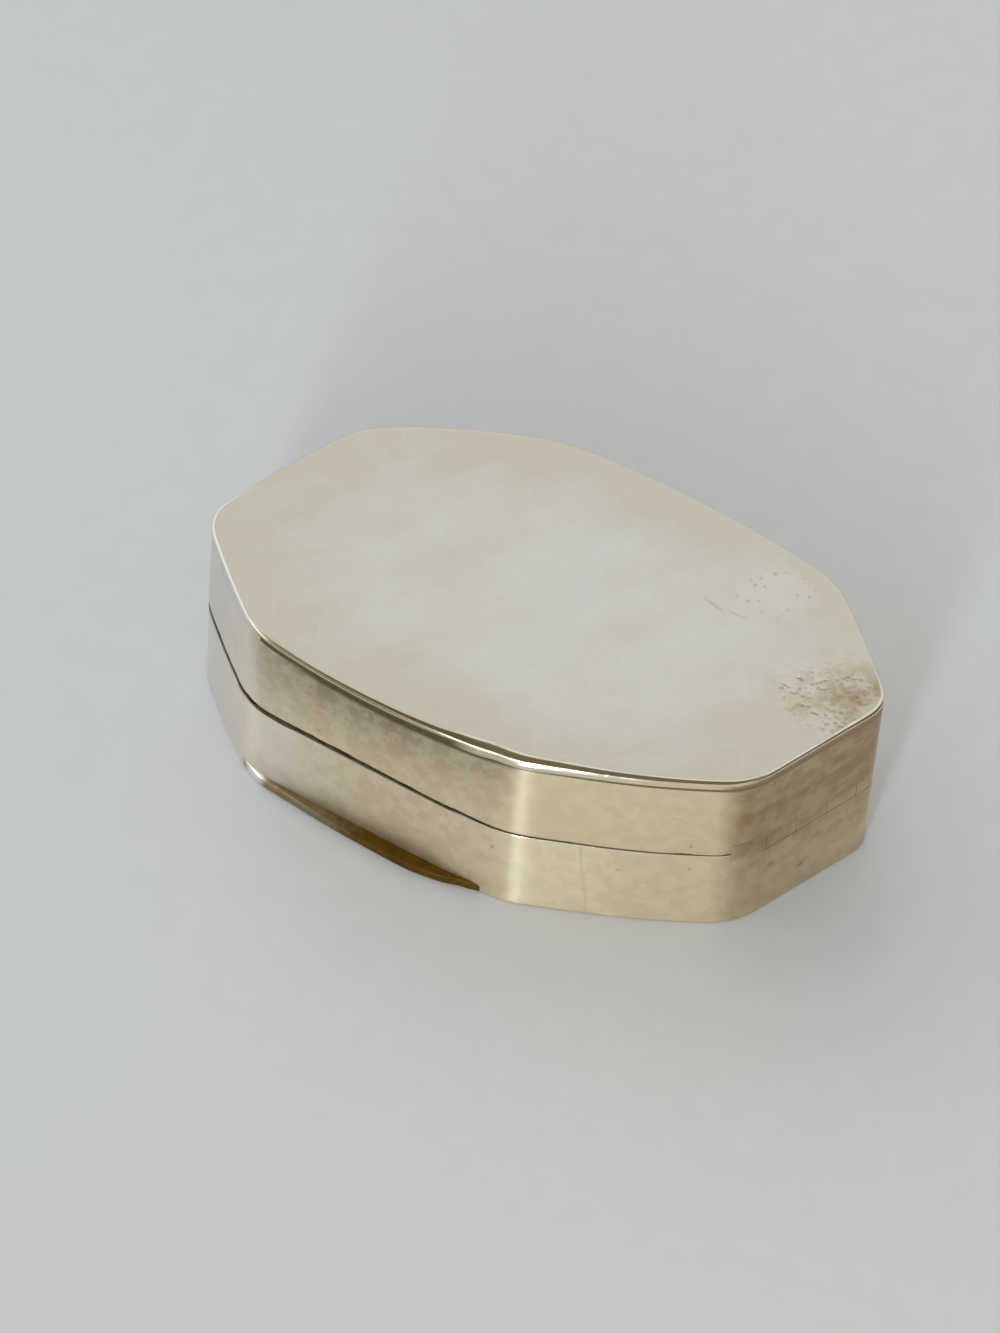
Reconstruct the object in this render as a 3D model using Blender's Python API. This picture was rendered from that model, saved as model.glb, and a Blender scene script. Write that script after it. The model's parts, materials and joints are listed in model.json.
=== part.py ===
"""A silver vinaigrette: an eight-sided box whose hinged lid shuts over a pierced grille and a sponge."""

import functools
import math

import bmesh
import bpy
from mathutils import Matrix, Vector

MM = 0.001

# Outline of the plates, seen from above, with +X along the length
LENGTH = 32.0 * MM  # left point to right point, before they are rounded
FRONT_REACH = 8.77 * MM  # length line to the front bend
BACK_REACH = 9.31 * MM  # length line to the back bend
SHOULDER_REACH = 6.18 * MM  # length line to a shoulder
SHOULDER_RUN = 4.29 * MM  # end point to its shoulder, along X
BACK_LEFT_REACH = 6.57 * MM
BACK_LEFT_RUN = 4.63 * MM
FRONT_BEND_X = 0.15 * MM
BACK_BEND_X = -1.92 * MM
LEFT_POINT_Y = -0.69 * MM
RIGHT_POINT_Y = 0.36 * MM
LONG_SIDE_BOW = 0.456 * MM
END_SIDE_BOW = 0.11 * MM
FLAT_WALL_BOW = 0.02 * MM  # front left wall, which was left flat
LEFT_POINT_CUT = 1.44 * MM  # corner point to the start of its bend
RIGHT_POINT_CUT = 1.11 * MM
SHOULDER_CUT = 1.31 * MM
MIDDLE_BEND_CUT = 1.56 * MM

# Heights and sheets
BASE_HEIGHT = 4.96 * MM  # foot to the base's rim
LID_HEIGHT = 5.30 * MM  # base's rim to the lid's top, at the hinge
SEAM_GAP = 0.05 * MM
LID_AJAR = math.radians(0.825)
PLATE = 0.50 * MM
PLATE_EDGE_ROUND = 0.20 * MM
PLATE_LEDGE = 0.04 * MM  # how far a plate projects beyond its wall
WALL = 0.50 * MM
SOLDER_GAP = 0.02 * MM

# Collar and grille seat
COLLAR = 0.28 * MM
COLLAR_RISE = 0.50 * MM  # above the rim
COLLAR_DROP = 2.00 * MM  # below the rim
COLLAR_PLAY = 0.05 * MM  # to the lid's wall, at the rim
COLLAR_TAPER = 0.06 * MM
SEAT_WIDTH = 0.70 * MM
SEAT_HEIGHT = 0.35 * MM

# Lid hinge: five tubes in a groove along the front right end side
KNUCKLE_RADIUS = 0.60 * MM
HINGE_DEPTH = 0.38 * MM  # wall's outer face to the axis
KNUCKLE_COUNT = 5
KNUCKLE_GAP = 0.04 * MM
CHANNEL_PLAY = 0.03 * MM
CHANNEL_OVERRUN = 0.42 * MM  # past each corner point of the hinge side
LID_PIN_RADIUS = 0.22 * MM
LID_PIN_PLAY = 0.035 * MM
LID_PIN_END = 0.60 * MM  # corner point to the pin's end
BEARER_WALL = 0.44 * MM  # metal left round the groove

# Grille and its hinge, as drops below the base's rim
GRILLE_SHEET = 0.35 * MM
GRILLE_DROP = 0.30 * MM  # rim to the sheet's top
GRILLE_PLAY = 0.12 * MM  # to the collar
GRILLE_SIDE_PLAY = 0.28 * MM  # to the collar beside the hinge, where the grille swings
GRILLE_HEEL = 1.15 * MM  # hinge axis to the sheet's edge
GRILLE_HEEL_CUT = 2.40 * MM  # corner cut at the heel
FRAME_WIDTH = 0.55 * MM
FRAME_HEIGHT = 0.22 * MM
FRAME_FLANK = 0.14 * MM  # run of the wire's sloping flanks
GRILLE_KNUCKLE_RADIUS = 0.35 * MM
GRILLE_KNUCKLE_LENGTH = 1.45 * MM
GRILLE_PIN_RADIUS = 0.14 * MM
GRILLE_PIN_PLAY = 0.03 * MM
STRAP = 0.25 * MM
STRAP_LAP = 1.25 * MM  # how far the strap reaches under the sheet
TAB_LENGTH = 1.10 * MM
TAB_WIDTH = 1.60 * MM
TAB_ROOT = 1.07 * MM  # width next to the frame
TAB_SET = 0.25 * MM  # frame's corner to the tab
TAB_THICKNESS = 0.25 * MM

# Piercing
HOLE_RADIUS = 0.36 * MM
HOLE_PITCH = 1.50 * MM
HOLE_MARGIN = 1.20 * MM  # sheet's edge to the outer row, across the box
ROW_COUNT = 2
ROW_PITCH = 1.68 * MM  # from row to row, across the box
PETALS = 8
PETAL_INNER = 0.75 * MM
PETAL_OUTER = 2.90 * MM
PETAL_HALF_WIDTH = 0.50 * MM
EYE_RADIUS = 0.34 * MM

# Sponge
SPONGE_FLOOR_GAP = 0.30 * MM
SPONGE_TOP_GAP = 0.20 * MM  # under the grille's seat and strap
SPONGE_PLAY = 0.30 * MM  # to the collar
SPONGE_HINGE_PLAY = 0.35 * MM  # to the bearer
SPONGE_ROUND = 0.45 * MM
SPONGE_CROWN_RUN = 1.35 * MM  # side to the flat of the top
SPONGE_CROWN_DROP = 0.11 * MM

# Fineness of the meshes
SIDE_STEPS = 8
CORNER_STEPS = 5
EDGE_STEPS = 3
ROUND_STEPS = 24
SMALL_ROUND_STEPS = 16
PIN_STEPS = 12
HOLE_STEPS = 8
SMOOTH_ANGLE = math.radians(30)
LEAST_CUT = 0.35  # share of a corner's cut that is left however far the plan is inset

# Sides, counted from the left point round by the front
SIDES = 8
FRONT_LEFT, FRONT_RIGHT, HINGE_SIDE, RIGHT_END_BACK = 1, 2, 3, 4

# Insets from the plates' outline
WALL_INSET = PLATE_LEDGE
WALL_INNER = WALL_INSET + WALL
COLLAR_OUTER = WALL_INNER + SOLDER_GAP
COLLAR_INNER = COLLAR_OUTER + COLLAR

# Heights above the foot
RIM = BASE_HEIGHT
LID_RIM = RIM + SEAM_GAP
LID_TOP = RIM + LID_HEIGHT
LID_AXIS_HEIGHT = (RIM + LID_RIM) / 2
GRILLE_TOP = RIM - GRILLE_DROP
GRILLE_LOW = GRILLE_TOP - GRILLE_SHEET
STRAP_LOW = GRILLE_LOW - SOLDER_GAP - STRAP
SEAT_LOW = GRILLE_LOW - SOLDER_GAP - SEAT_HEIGHT
GRILLE_AXIS_HEIGHT = STRAP_LOW + GRILLE_KNUCKLE_RADIUS

# Depths from the wall's outer face at the hinge
CHANNEL_RADIUS = KNUCKLE_RADIUS + CHANNEL_PLAY
BEARER_DEPTH = HINGE_DEPTH + CHANNEL_RADIUS + BEARER_WALL
GRILLE_AXIS_DEPTH = BEARER_DEPTH + SOLDER_GAP + GRILLE_KNUCKLE_RADIUS

UP = Vector((0, 0, 1))

SILVER = ("silver", (0.78, 0.76, 0.71, 1), 0.28, 1.0)
GILT = ("gilt", (0.83, 0.62, 0.30, 1), 0.32, 1.0)
PIN_METAL = ("pin_silver", (0.66, 0.64, 0.60, 1), 0.38, 1.0)
SPONGE = ("sponge", (0.60, 0.47, 0.28, 1), 0.95, 0.0)


def clear_scene():
    for obj in list(bpy.context.scene.objects):
        bpy.data.objects.remove(obj, do_unlink=True)


def corner_points():
    """The eight corner points, from the left point round by the front."""
    half = LENGTH / 2
    shoulder = half - SHOULDER_RUN
    points = [
        (-half, LEFT_POINT_Y),
        (-shoulder, -SHOULDER_REACH),
        (FRONT_BEND_X, -FRONT_REACH),
        (shoulder, -SHOULDER_REACH),
        (half, RIGHT_POINT_Y),
        (shoulder, SHOULDER_REACH),
        (BACK_BEND_X, BACK_REACH),
        (-half + BACK_LEFT_RUN, BACK_LEFT_REACH),
    ]
    return [Vector(p) for p in points]


def side_bows(wall):
    """How far each side bulges at its middle. The hinge side is straight."""
    half_end, long_sides = [END_SIDE_BOW], [LONG_SIDE_BOW] * 2
    bows = half_end + long_sides + [0.0] + half_end + long_sides + half_end
    if wall:
        bows[FRONT_LEFT] = FLAT_WALL_BOW
    return bows


def corner_cuts():
    cuts = [SHOULDER_CUT] * SIDES
    cuts[0] = LEFT_POINT_CUT
    cuts[4] = RIGHT_POINT_CUT
    cuts[2] = cuts[6] = MIDDLE_BEND_CUT
    return cuts


def cross(a, b):
    return a.x * b.y - a.y * b.x


def crossing(p, along_p, q, along_q):
    """Where two lines in the plan meet."""
    return p + along_p * (cross(q - p, along_q) / cross(along_p, along_q))


def inward(along):
    return Vector((-along.y, along.x))


def inset_corners(insets):
    """The corner points with each side moved inwards by its own inset."""
    points = corner_points()
    starts, ways = [], []
    for i in range(SIDES):
        way = (points[(i + 1) % SIDES] - points[i]).normalized()
        starts.append(points[i] + inward(way) * insets[i])
        ways.append(way)
    return [crossing(starts[i - 1], ways[i - 1], starts[i], ways[i]) for i in range(SIDES)]


def rounded_plan(inset, wall, special, heel_cut):
    """Plan with rounded corners and bowed sides, where the corner points are given."""
    insets = [special.get(side, inset) for side in range(SIDES)]
    corners = inset_corners(insets)
    bows = side_bows(wall)
    plain = corner_points()
    cuts = corner_cuts()
    ways = [(plain[(i + 1) % SIDES] - plain[i]).normalized() for i in range(SIDES)]
    for i in range(SIDES):
        turn = ways[i - 1].angle(ways[i])
        cuts[i] = max(cuts[i] - inset * math.tan(turn / 2), LEAST_CUT * cuts[i])
    if heel_cut:
        cuts[HINGE_SIDE] = cuts[HINGE_SIDE + 1] = heel_cut
    sides, slopes = [], []
    for i in range(SIDES):
        start, end = corners[i], corners[(i + 1) % SIDES]
        length = (end - start).length
        way, out = (end - start) / length, -inward(ways[i])
        first, last = cuts[i] / length, 1 - cuts[(i + 1) % SIDES] / length
        points, slope = [], []
        for step in range(SIDE_STEPS + 1):
            t = first + (last - first) * step / SIDE_STEPS
            points.append(start + way * (t * length) + out * (4 * bows[i] * t * (1 - t)))
            slope.append(way + out * (4 * bows[i] * (1 - 2 * t) / length))
        sides.append(points)
        slopes.append(slope)
    plan = []
    for i in range(SIDES):
        before, after = sides[i - 1][-1], sides[i][0]
        middle = crossing(before, slopes[i - 1][-1], after, slopes[i][0])
        for step in range(1, CORNER_STEPS):
            t = step / CORNER_STEPS
            plan.append(before * (1 - t) ** 2 + middle * (2 * t * (1 - t)) + after * t**2)
        plan.extend(sides[i])
    return plan


def middle_of(plan):
    """Middle of a plan's extent in X and Y."""
    xs, ys = [p.x for p in plan], [p.y for p in plan]
    return Vector(((min(xs) + max(xs)) / 2, (min(ys) + max(ys)) / 2))


@functools.cache
def plan_centre():
    """Middle of the plates' own extent, which is the origin."""
    return middle_of(rounded_plan(0.0, False, {}, None))


def outline(inset, wall=True, special=None, heel_cut=None):
    """The plan about the origin, counter-clockwise, with as many points whatever its inset."""
    plan = rounded_plan(inset, wall, special or {}, heel_cut)
    return [p - plan_centre() for p in plan]


def at_height(plan, z):
    return [Vector((p.x, p.y, z)) for p in plan]


def mesh_object(name, bm, finish=None):
    mesh = bpy.data.meshes.new(name)
    bm.to_mesh(mesh)
    bm.free()
    obj = bpy.data.objects.new(name, mesh)
    bpy.context.scene.collection.objects.link(obj)
    if finish:
        mesh.materials.append(material(*finish))
        mesh.shade_smooth()
        mesh.set_sharp_from_angle(angle=SMOOTH_ANGLE)
    return obj


def material(name, colour, roughness, metallic):
    found = bpy.data.materials.get(name)
    if found:
        return found
    made = bpy.data.materials.new(name)
    made.use_nodes = True
    shader = made.node_tree.nodes["Principled BSDF"]
    shader.inputs["Base Color"].default_value = colour
    shader.inputs["Roughness"].default_value = roughness
    shader.inputs["Metallic"].default_value = metallic
    return made


def loft(name, loops, finish=None, ring=False):
    """Skin over loops of equal count. A ring joins its last loop to its first, and a stack is capped."""
    bm = bmesh.new()
    rows = [[bm.verts.new(p) for p in loop] for loop in loops]
    pairs = list(zip(rows, rows[1:] + rows[:1])) if ring else list(zip(rows, rows[1:]))
    for low, high in pairs:
        for i in range(len(low)):
            j = (i + 1) % len(low)
            bm.faces.new((low[i], low[j], high[j], high[i]))
    if not ring:
        bm.faces.new(reversed(rows[0]))
        bm.faces.new(rows[-1])
    return mesh_object(name, bm, finish)


def frame_along(middle, along, depth):
    """Matrix whose X runs along the hinge, Y into the box and Z up."""
    return Matrix.Translation(middle) @ Matrix((along, depth, UP)).transposed().to_4x4()


def hinge_line():
    """Middle of the hinge side on the wall's outer face, its direction, the way in, and its length."""
    corners = inset_corners([WALL_INSET] * SIDES)
    start, end = corners[HINGE_SIDE], corners[HINGE_SIDE + 1]
    along = (end - start).normalized()
    into = inward(along)
    middle = (start + end) / 2 - plan_centre()
    return middle.to_3d(), along.to_3d(), into.to_3d(), (end - start).length


def hinge_place(depth, z):
    middle, along, into, _ = hinge_line()
    return frame_along(middle + into * depth + UP * z, along, into)


def bar(name, place, radius, start, end, finish=None, steps=ROUND_STEPS):
    """Round bar along the hinge, from start to end on the X of its place."""
    bm = bmesh.new()
    bmesh.ops.create_cone(
        bm, cap_ends=True, segments=steps, radius1=radius, radius2=radius, depth=end - start
    )
    turn = Matrix.Rotation(math.pi / 2, 4, "Y")
    shift = Matrix.Translation(Vector(((start + end) / 2, 0, 0)))
    bmesh.ops.transform(bm, matrix=place @ shift @ turn, verts=bm.verts)
    return mesh_object(name, bm, finish)


def block(name, place, low, high, finish=None):
    bm = bmesh.new()
    bmesh.ops.create_cube(bm, size=1)
    size = [h - l for l, h in zip(low, high)]
    middle = Vector([(h + l) / 2 for l, h in zip(low, high)])
    matrix = place @ Matrix.Translation(middle) @ Matrix.Diagonal((*size, 1))
    bmesh.ops.transform(bm, matrix=matrix, verts=bm.verts)
    return mesh_object(name, bm, finish)


def helper(obj):
    """A cutter, which is no part of the box."""
    obj.hide_render = True
    obj.display_type = "WIRE"
    return obj


def boolean(obj, other, operation="DIFFERENCE"):
    modifier = obj.modifiers.new(operation.lower(), "BOOLEAN")
    modifier.operation = operation
    modifier.solver = "EXACT"
    modifier.object = other
    return obj


def prism(name, plan):
    """Cutter over a plan, as tall as the box."""
    return helper(loft(name, [at_height(plan, z) for z in (0, LID_TOP)]))


def wall_ring(name, outer, inner, low, high, finish):
    """Upright wall between two plans and two heights."""
    corners = ((outer, low), (outer, high), (inner, high), (inner, low))
    return loft(name, [at_height(plan, z) for plan, z in corners], finish, ring=True)


def build_plate(name, low):
    """Sheet with a rounded edge, whose widest line is at the middle of its thickness."""
    radius = min(PLATE_EDGE_ROUND, PLATE / 2)
    angles = [math.pi / 2 * step / EDGE_STEPS for step in range(EDGE_STEPS + 1)]
    edge = [(-1, angle) for angle in reversed(angles)] + [(1, angle) for angle in angles]
    loops = []
    for sign, angle in edge:
        plan = outline(radius * (1 - math.cos(angle)), wall=False)
        rise = PLATE / 2 - radius * (1 - math.sin(angle))
        loops.append(at_height(plan, low + PLATE / 2 + sign * rise))
    return loft(name, loops, SILVER)


def build_band(name, low, high):
    """Side wall of the base or the lid."""
    return wall_ring(name, outline(WALL_INSET), outline(WALL_INNER), low, high, SILVER)


def build_collar():
    """Inner collar, open at the hinge, with a taper above the rim for the lid to slide over."""
    loops = [
        at_height(outline(COLLAR_OUTER), RIM - COLLAR_DROP),
        at_height(outline(COLLAR_OUTER), RIM - COLLAR_RISE / 2),
        at_height(outline(WALL_INNER + COLLAR_PLAY), RIM),
        at_height(outline(WALL_INNER + COLLAR_PLAY + COLLAR_TAPER), RIM + COLLAR_RISE),
        at_height(outline(COLLAR_INNER), RIM + COLLAR_RISE),
        at_height(outline(COLLAR_INNER), RIM - COLLAR_DROP),
    ]
    collar = loft("base_collar", loops, GILT, ring=True)
    open_at_hinge(collar, BEARER_DEPTH + SOLDER_GAP)


def build_seat():
    """Ledge inside the collar, open where the grille's hinge lies."""
    outer, inner = outline(COLLAR_INNER + SOLDER_GAP), outline(COLLAR_INNER + SEAT_WIDTH)
    seat = wall_ring("grille_seat", outer, inner, SEAT_LOW, SEAT_LOW + SEAT_HEIGHT, GILT)
    open_at_hinge(seat, GRILLE_AXIS_DEPTH + GRILLE_HEEL)


def open_at_hinge(obj, depth):
    """Cuts a ring away where it would meet the hinge."""
    reach = LENGTH / 2
    low, high = (-reach, -reach, -LID_TOP), (reach, depth, 2 * LID_TOP)
    boolean(obj, helper(block(f"{obj.name}_hinge_cut", hinge_place(0, 0), low, high)))


def lid_axis():
    return hinge_place(HINGE_DEPTH, LID_AXIS_HEIGHT)


def grille_axis():
    return hinge_place(GRILLE_AXIS_DEPTH, GRILLE_AXIS_HEIGHT)


def barrel_half():
    """Half the length of the row of tubes, with the groove's overrun at both ends."""
    return hinge_line()[3] / 2 + CHANNEL_OVERRUN


def build_channel():
    """Cutter of the groove that the tubes lie in."""
    return helper(bar("hinge_channel", lid_axis(), CHANNEL_RADIUS, -barrel_half(), barrel_half()))


def build_knuckles():
    """Tubes of the lid's hinge, filed flush with the wall, and their pin. Returns the lid's own."""
    pin_half = hinge_line()[3] / 2 - LID_PIN_END
    bar("lid_hinge_pin", lid_axis(), LID_PIN_RADIUS, -pin_half, pin_half, PIN_METAL, SMALL_ROUND_STEPS)
    bore_half = pin_half + KNUCKLE_GAP
    bore = helper(bar("lid_pin_bore", lid_axis(), LID_PIN_RADIUS + LID_PIN_PLAY, -bore_half, bore_half))
    trims = {owner: prism(f"{owner}_wall_trim", outline(WALL_INSET)) for owner in ("base", "lid")}
    row_half = barrel_half() - SOLDER_GAP
    pitch = (2 * row_half + KNUCKLE_GAP) / KNUCKLE_COUNT
    lid_pieces = [trims["lid"]]
    for i in range(KNUCKLE_COUNT):
        owner = ("base", "lid")[i % 2]
        start = -row_half + i * pitch
        name = f"{owner}_knuckle_{i // 2 + 1}"
        knuckle = bar(name, lid_axis(), KNUCKLE_RADIUS, start, start + pitch - KNUCKLE_GAP, SILVER)
        boolean(knuckle, trims[owner], "INTERSECT")
        boolean(knuckle, bore)
        if owner == "lid":
            lid_pieces.append(knuckle)
    return lid_pieces


def build_bearer(owner, low, high, channel):
    """Grooved strip behind the wall, between two heights. Returns it and the prism that trims it."""
    place = hinge_place(0, LID_AXIS_HEIGHT)
    reach = LENGTH / 2
    corners = (-reach, 0, low), (reach, BEARER_DEPTH, high)
    bearer = block(f"{owner}_hinge_bearer", place, *corners, SILVER)
    trim = prism(f"{owner}_inner_trim", outline(WALL_INNER + SOLDER_GAP))
    boolean(bearer, trim, "INTERSECT")
    boolean(bearer, channel)
    return [bearer, trim]


def grille_plan(extra=0.0):
    """Plan of the grille's sheet, inset further by an extra."""
    side = COLLAR_INNER + GRILLE_SIDE_PLAY + extra
    heel = WALL_INSET + GRILLE_AXIS_DEPTH + GRILLE_HEEL + extra
    special = {FRONT_RIGHT: side, RIGHT_END_BACK: side, HINGE_SIDE: heel}
    return outline(COLLAR_INNER + GRILLE_PLAY + extra, True, special, GRILLE_HEEL_CUT)


def spaced_points(plan, pitch):
    """Points about one pitch apart along a closed plan, as many as fit evenly."""
    closed = plan + plan[:1]
    lengths = [(b - a).length for a, b in zip(closed, closed[1:])]
    count = max(3, round(sum(lengths) / pitch))
    step = sum(lengths) / count
    found, run, wanted = [], 0.0, step / 2
    for (a, b), length in zip(zip(closed, closed[1:]), lengths):
        while wanted < run + length and len(found) < count:
            found.append(a + (b - a) * ((wanted - run) / length))
            wanted += step
        run += length
    return found


def hole_shapes():
    """Plans of the holes: a flower in the middle and rows of round holes that follow the edge."""
    shapes = []
    plan = grille_plan()
    heart = middle_of(plan)
    half_width = max(p.y for p in plan) - heart.y
    for row in range(ROW_COUNT):
        share = 1 - (HOLE_MARGIN + row * ROW_PITCH) / half_width
        loop = [heart + (p - heart) * share for p in plan]
        for point in spaced_points(loop, HOLE_PITCH):
            shapes.append(ellipse(point, Vector((HOLE_RADIUS, 0)), HOLE_RADIUS))
    shapes.append(ellipse(heart, Vector((EYE_RADIUS, 0)), EYE_RADIUS))
    for petal in range(PETALS):
        angle = 2 * math.pi * (petal + 0.5) / PETALS
        way = Vector((math.cos(angle), math.sin(angle)))
        middle = heart + way * ((PETAL_INNER + PETAL_OUTER) / 2)
        shapes.append(ellipse(middle, way * ((PETAL_OUTER - PETAL_INNER) / 2), PETAL_HALF_WIDTH))
    return shapes


def ellipse(middle, long_half, short_half):
    across = inward(long_half.normalized()) * short_half
    points = []
    for step in range(HOLE_STEPS):
        angle = 2 * math.pi * (step + 0.5) / HOLE_STEPS
        points.append(middle + long_half * math.cos(angle) + across * math.sin(angle))
    return points


def hole_cutter(low, high):
    bm = bmesh.new()
    for shape in hole_shapes():
        bottom = [bm.verts.new((p.x, p.y, low)) for p in shape]
        top = [bm.verts.new((p.x, p.y, high)) for p in shape]
        bm.faces.new(reversed(bottom))
        bm.faces.new(top)
        for i in range(len(shape)):
            j = (i + 1) % len(shape)
            bm.faces.new((bottom[i], bottom[j], top[j], top[i]))
    return helper(mesh_object("grille_holes", bm))


def build_sheet():
    sheet = loft("grille_plate", [at_height(grille_plan(), z) for z in (GRILLE_LOW, GRILLE_TOP)], GILT)
    return boolean(sheet, hole_cutter(GRILLE_LOW - GRILLE_SHEET, GRILLE_TOP + GRILLE_SHEET))


def build_frame():
    """Wire round the sheet's edge, with sloping flanks."""
    low = GRILLE_TOP + SOLDER_GAP
    crest = low + FRAME_HEIGHT
    flank = min(FRAME_FLANK, FRAME_WIDTH / 2)
    profile = [(0, low), (flank, crest), (FRAME_WIDTH - flank, crest), (FRAME_WIDTH, low)]
    loops = [at_height(grille_plan(inset), z) for inset, z in profile]
    return loft("grille_frame", loops, GILT, ring=True)


def build_grille_hinge():
    """Centre knuckle with its strap, which turn, and the brackets and pin, which don't."""
    place = grille_axis()
    half = GRILLE_KNUCKLE_LENGTH / 2
    radius = GRILLE_KNUCKLE_RADIUS
    knuckle = bar("grille_knuckle", place, radius, -half, half, GILT, SMALL_ROUND_STEPS)
    low = (-half, 0, -radius)
    high = (half, GRILLE_HEEL + STRAP_LAP, STRAP - radius)
    strap = helper(block("grille_strap", place, low, high))
    boolean(knuckle, strap, "UNION")
    pin_half = 3 * half + KNUCKLE_GAP
    bore_half = pin_half + GRILLE_KNUCKLE_LENGTH
    bore_radius = GRILLE_PIN_RADIUS + GRILLE_PIN_PLAY
    bore = helper(bar("grille_pin_bore", place, bore_radius, -bore_half, bore_half, steps=PIN_STEPS))
    boolean(knuckle, bore)
    for number, start in ((1, -pin_half), (2, half + KNUCKLE_GAP)):
        name, end = f"grille_bracket_{number}", start + GRILLE_KNUCKLE_LENGTH
        boolean(bar(name, place, radius, start, end, GILT, SMALL_ROUND_STEPS), bore)
    bar("grille_hinge_pin", place, GRILLE_PIN_RADIUS, -pin_half, pin_half, PIN_METAL, PIN_STEPS)
    return [knuckle, strap]


def build_tab():
    """Lift tab, on the sheet just inside the frame at the left point."""
    root = min(grille_plan(FRAME_WIDTH + SOLDER_GAP), key=lambda p: p.x) + Vector((TAB_SET, 0))
    nose = TAB_LENGTH / 2
    plan = []
    for step in range(HOLE_STEPS + 1):
        angle = math.pi * (step / HOLE_STEPS - 0.5)
        plan.append(root + Vector((nose + nose * math.cos(angle), TAB_WIDTH / 2 * math.sin(angle))))
    for side in (1, -1):
        plan.append(root + Vector((0, side * TAB_ROOT / 2)))
    low = GRILLE_TOP + SOLDER_GAP
    return loft("grille_lift_tab", [at_height(plan, z) for z in (low, low + TAB_THICKNESS)], GILT)


def sponge_plan(extra):
    hinge = WALL_INSET + BEARER_DEPTH + SPONGE_HINGE_PLAY + extra
    return outline(COLLAR_INNER + SPONGE_PLAY + extra, True, {HINGE_SIDE: hinge})


def build_sponge():
    low = PLATE + SPONGE_FLOOR_GAP
    high = min(STRAP_LOW, SEAT_LOW) - SPONGE_TOP_GAP
    profile = [
        (SPONGE_ROUND, low),
        (0.0, low + SPONGE_ROUND),
        (0.0, high - SPONGE_ROUND),
        (SPONGE_ROUND, high - SPONGE_CROWN_DROP),
        (SPONGE_CROWN_RUN, high),
    ]
    loft("sponge", [at_height(sponge_plan(inset), z) for inset, z in profile], SPONGE)


def pivot(name, place, objects, angle=0.0):
    """Empty on a joint's axis, carrying the objects that turn on it."""
    point = place.to_translation()
    empty = bpy.data.objects.new(name, None)
    bpy.context.scene.collection.objects.link(empty)
    empty.location = point
    empty.rotation_mode = "AXIS_ANGLE"
    empty.rotation_axis_angle = (angle, *place.to_3x3().col[0])
    for obj in objects:
        obj.data.transform(Matrix.Translation(-point))
        obj.parent = empty


def build():
    clear_scene()
    channel = build_channel()
    build_plate("base_plate", 0.0)
    boolean(build_band("base_band", PLATE + SOLDER_GAP, RIM), channel)
    build_collar()
    build_seat()
    half_seam = SEAM_GAP / 2 + SOLDER_GAP
    reach = CHANNEL_RADIUS + BEARER_WALL
    build_bearer("base", -reach, -half_seam, channel)
    build_sponge()

    lid_band = build_band("lid_band", LID_RIM, LID_TOP - PLATE - SOLDER_GAP)
    lid_pieces = [build_plate("lid_plate", LID_TOP - PLATE), boolean(lid_band, channel)]
    lid_pieces += build_bearer("lid", half_seam, reach, channel)
    lid_pieces += build_knuckles()
    pivot("lid_pivot", lid_axis(), lid_pieces, LID_AJAR)

    grille_pieces = [build_sheet(), build_frame(), build_tab(), *build_grille_hinge()]
    pivot("grille_pivot", grille_axis(), grille_pieces)


build()
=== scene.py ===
import json
import math

import bmesh
import bpy
import numpy as np
from mathutils import Matrix, Vector, noise


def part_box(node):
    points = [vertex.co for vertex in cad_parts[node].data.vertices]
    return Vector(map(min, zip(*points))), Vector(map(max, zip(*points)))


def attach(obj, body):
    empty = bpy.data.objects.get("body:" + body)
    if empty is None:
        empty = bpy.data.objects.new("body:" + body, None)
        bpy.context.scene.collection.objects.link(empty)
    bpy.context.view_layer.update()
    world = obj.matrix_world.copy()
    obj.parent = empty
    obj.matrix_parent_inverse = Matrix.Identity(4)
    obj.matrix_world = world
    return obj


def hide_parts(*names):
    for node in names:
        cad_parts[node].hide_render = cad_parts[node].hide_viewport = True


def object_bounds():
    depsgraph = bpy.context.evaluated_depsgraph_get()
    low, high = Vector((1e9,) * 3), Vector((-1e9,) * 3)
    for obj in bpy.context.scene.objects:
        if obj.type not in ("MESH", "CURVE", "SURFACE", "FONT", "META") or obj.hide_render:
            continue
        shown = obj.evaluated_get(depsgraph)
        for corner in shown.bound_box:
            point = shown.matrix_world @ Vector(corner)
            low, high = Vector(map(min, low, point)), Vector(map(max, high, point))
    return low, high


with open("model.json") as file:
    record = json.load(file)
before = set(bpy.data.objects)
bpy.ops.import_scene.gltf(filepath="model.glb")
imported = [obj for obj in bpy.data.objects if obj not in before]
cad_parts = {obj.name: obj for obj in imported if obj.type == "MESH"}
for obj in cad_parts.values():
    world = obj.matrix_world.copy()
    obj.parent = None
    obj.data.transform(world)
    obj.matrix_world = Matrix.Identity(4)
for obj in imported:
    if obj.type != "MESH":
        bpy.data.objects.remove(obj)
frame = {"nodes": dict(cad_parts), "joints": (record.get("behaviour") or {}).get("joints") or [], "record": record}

CAD_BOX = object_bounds()
MM = 0.001
SAME_POINT = 0.002 * MM  # points that are nearer count as one
NEARLY_LEVEL = 0.99  # upward part of a face's normal

# Camera, as the photograph's perspective gives it
CAMERA_AZIMUTH = 15.405
CAMERA_ELEVATION = 51.581
CAMERA_ROLL = math.radians(4.5546)
CAMERA_DISTANCE = 360.75 * MM
CAMERA_TARGET = Vector((-0.035, -0.258, 4.96)) * MM
IMAGE_HEIGHT = 1333
FOCAL_PIXELS = 8000
CENTRE_SHIFT_PIXELS = (39.79, 14.23)
SENSOR = 36
CLIP_START = 10 * MM

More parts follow.
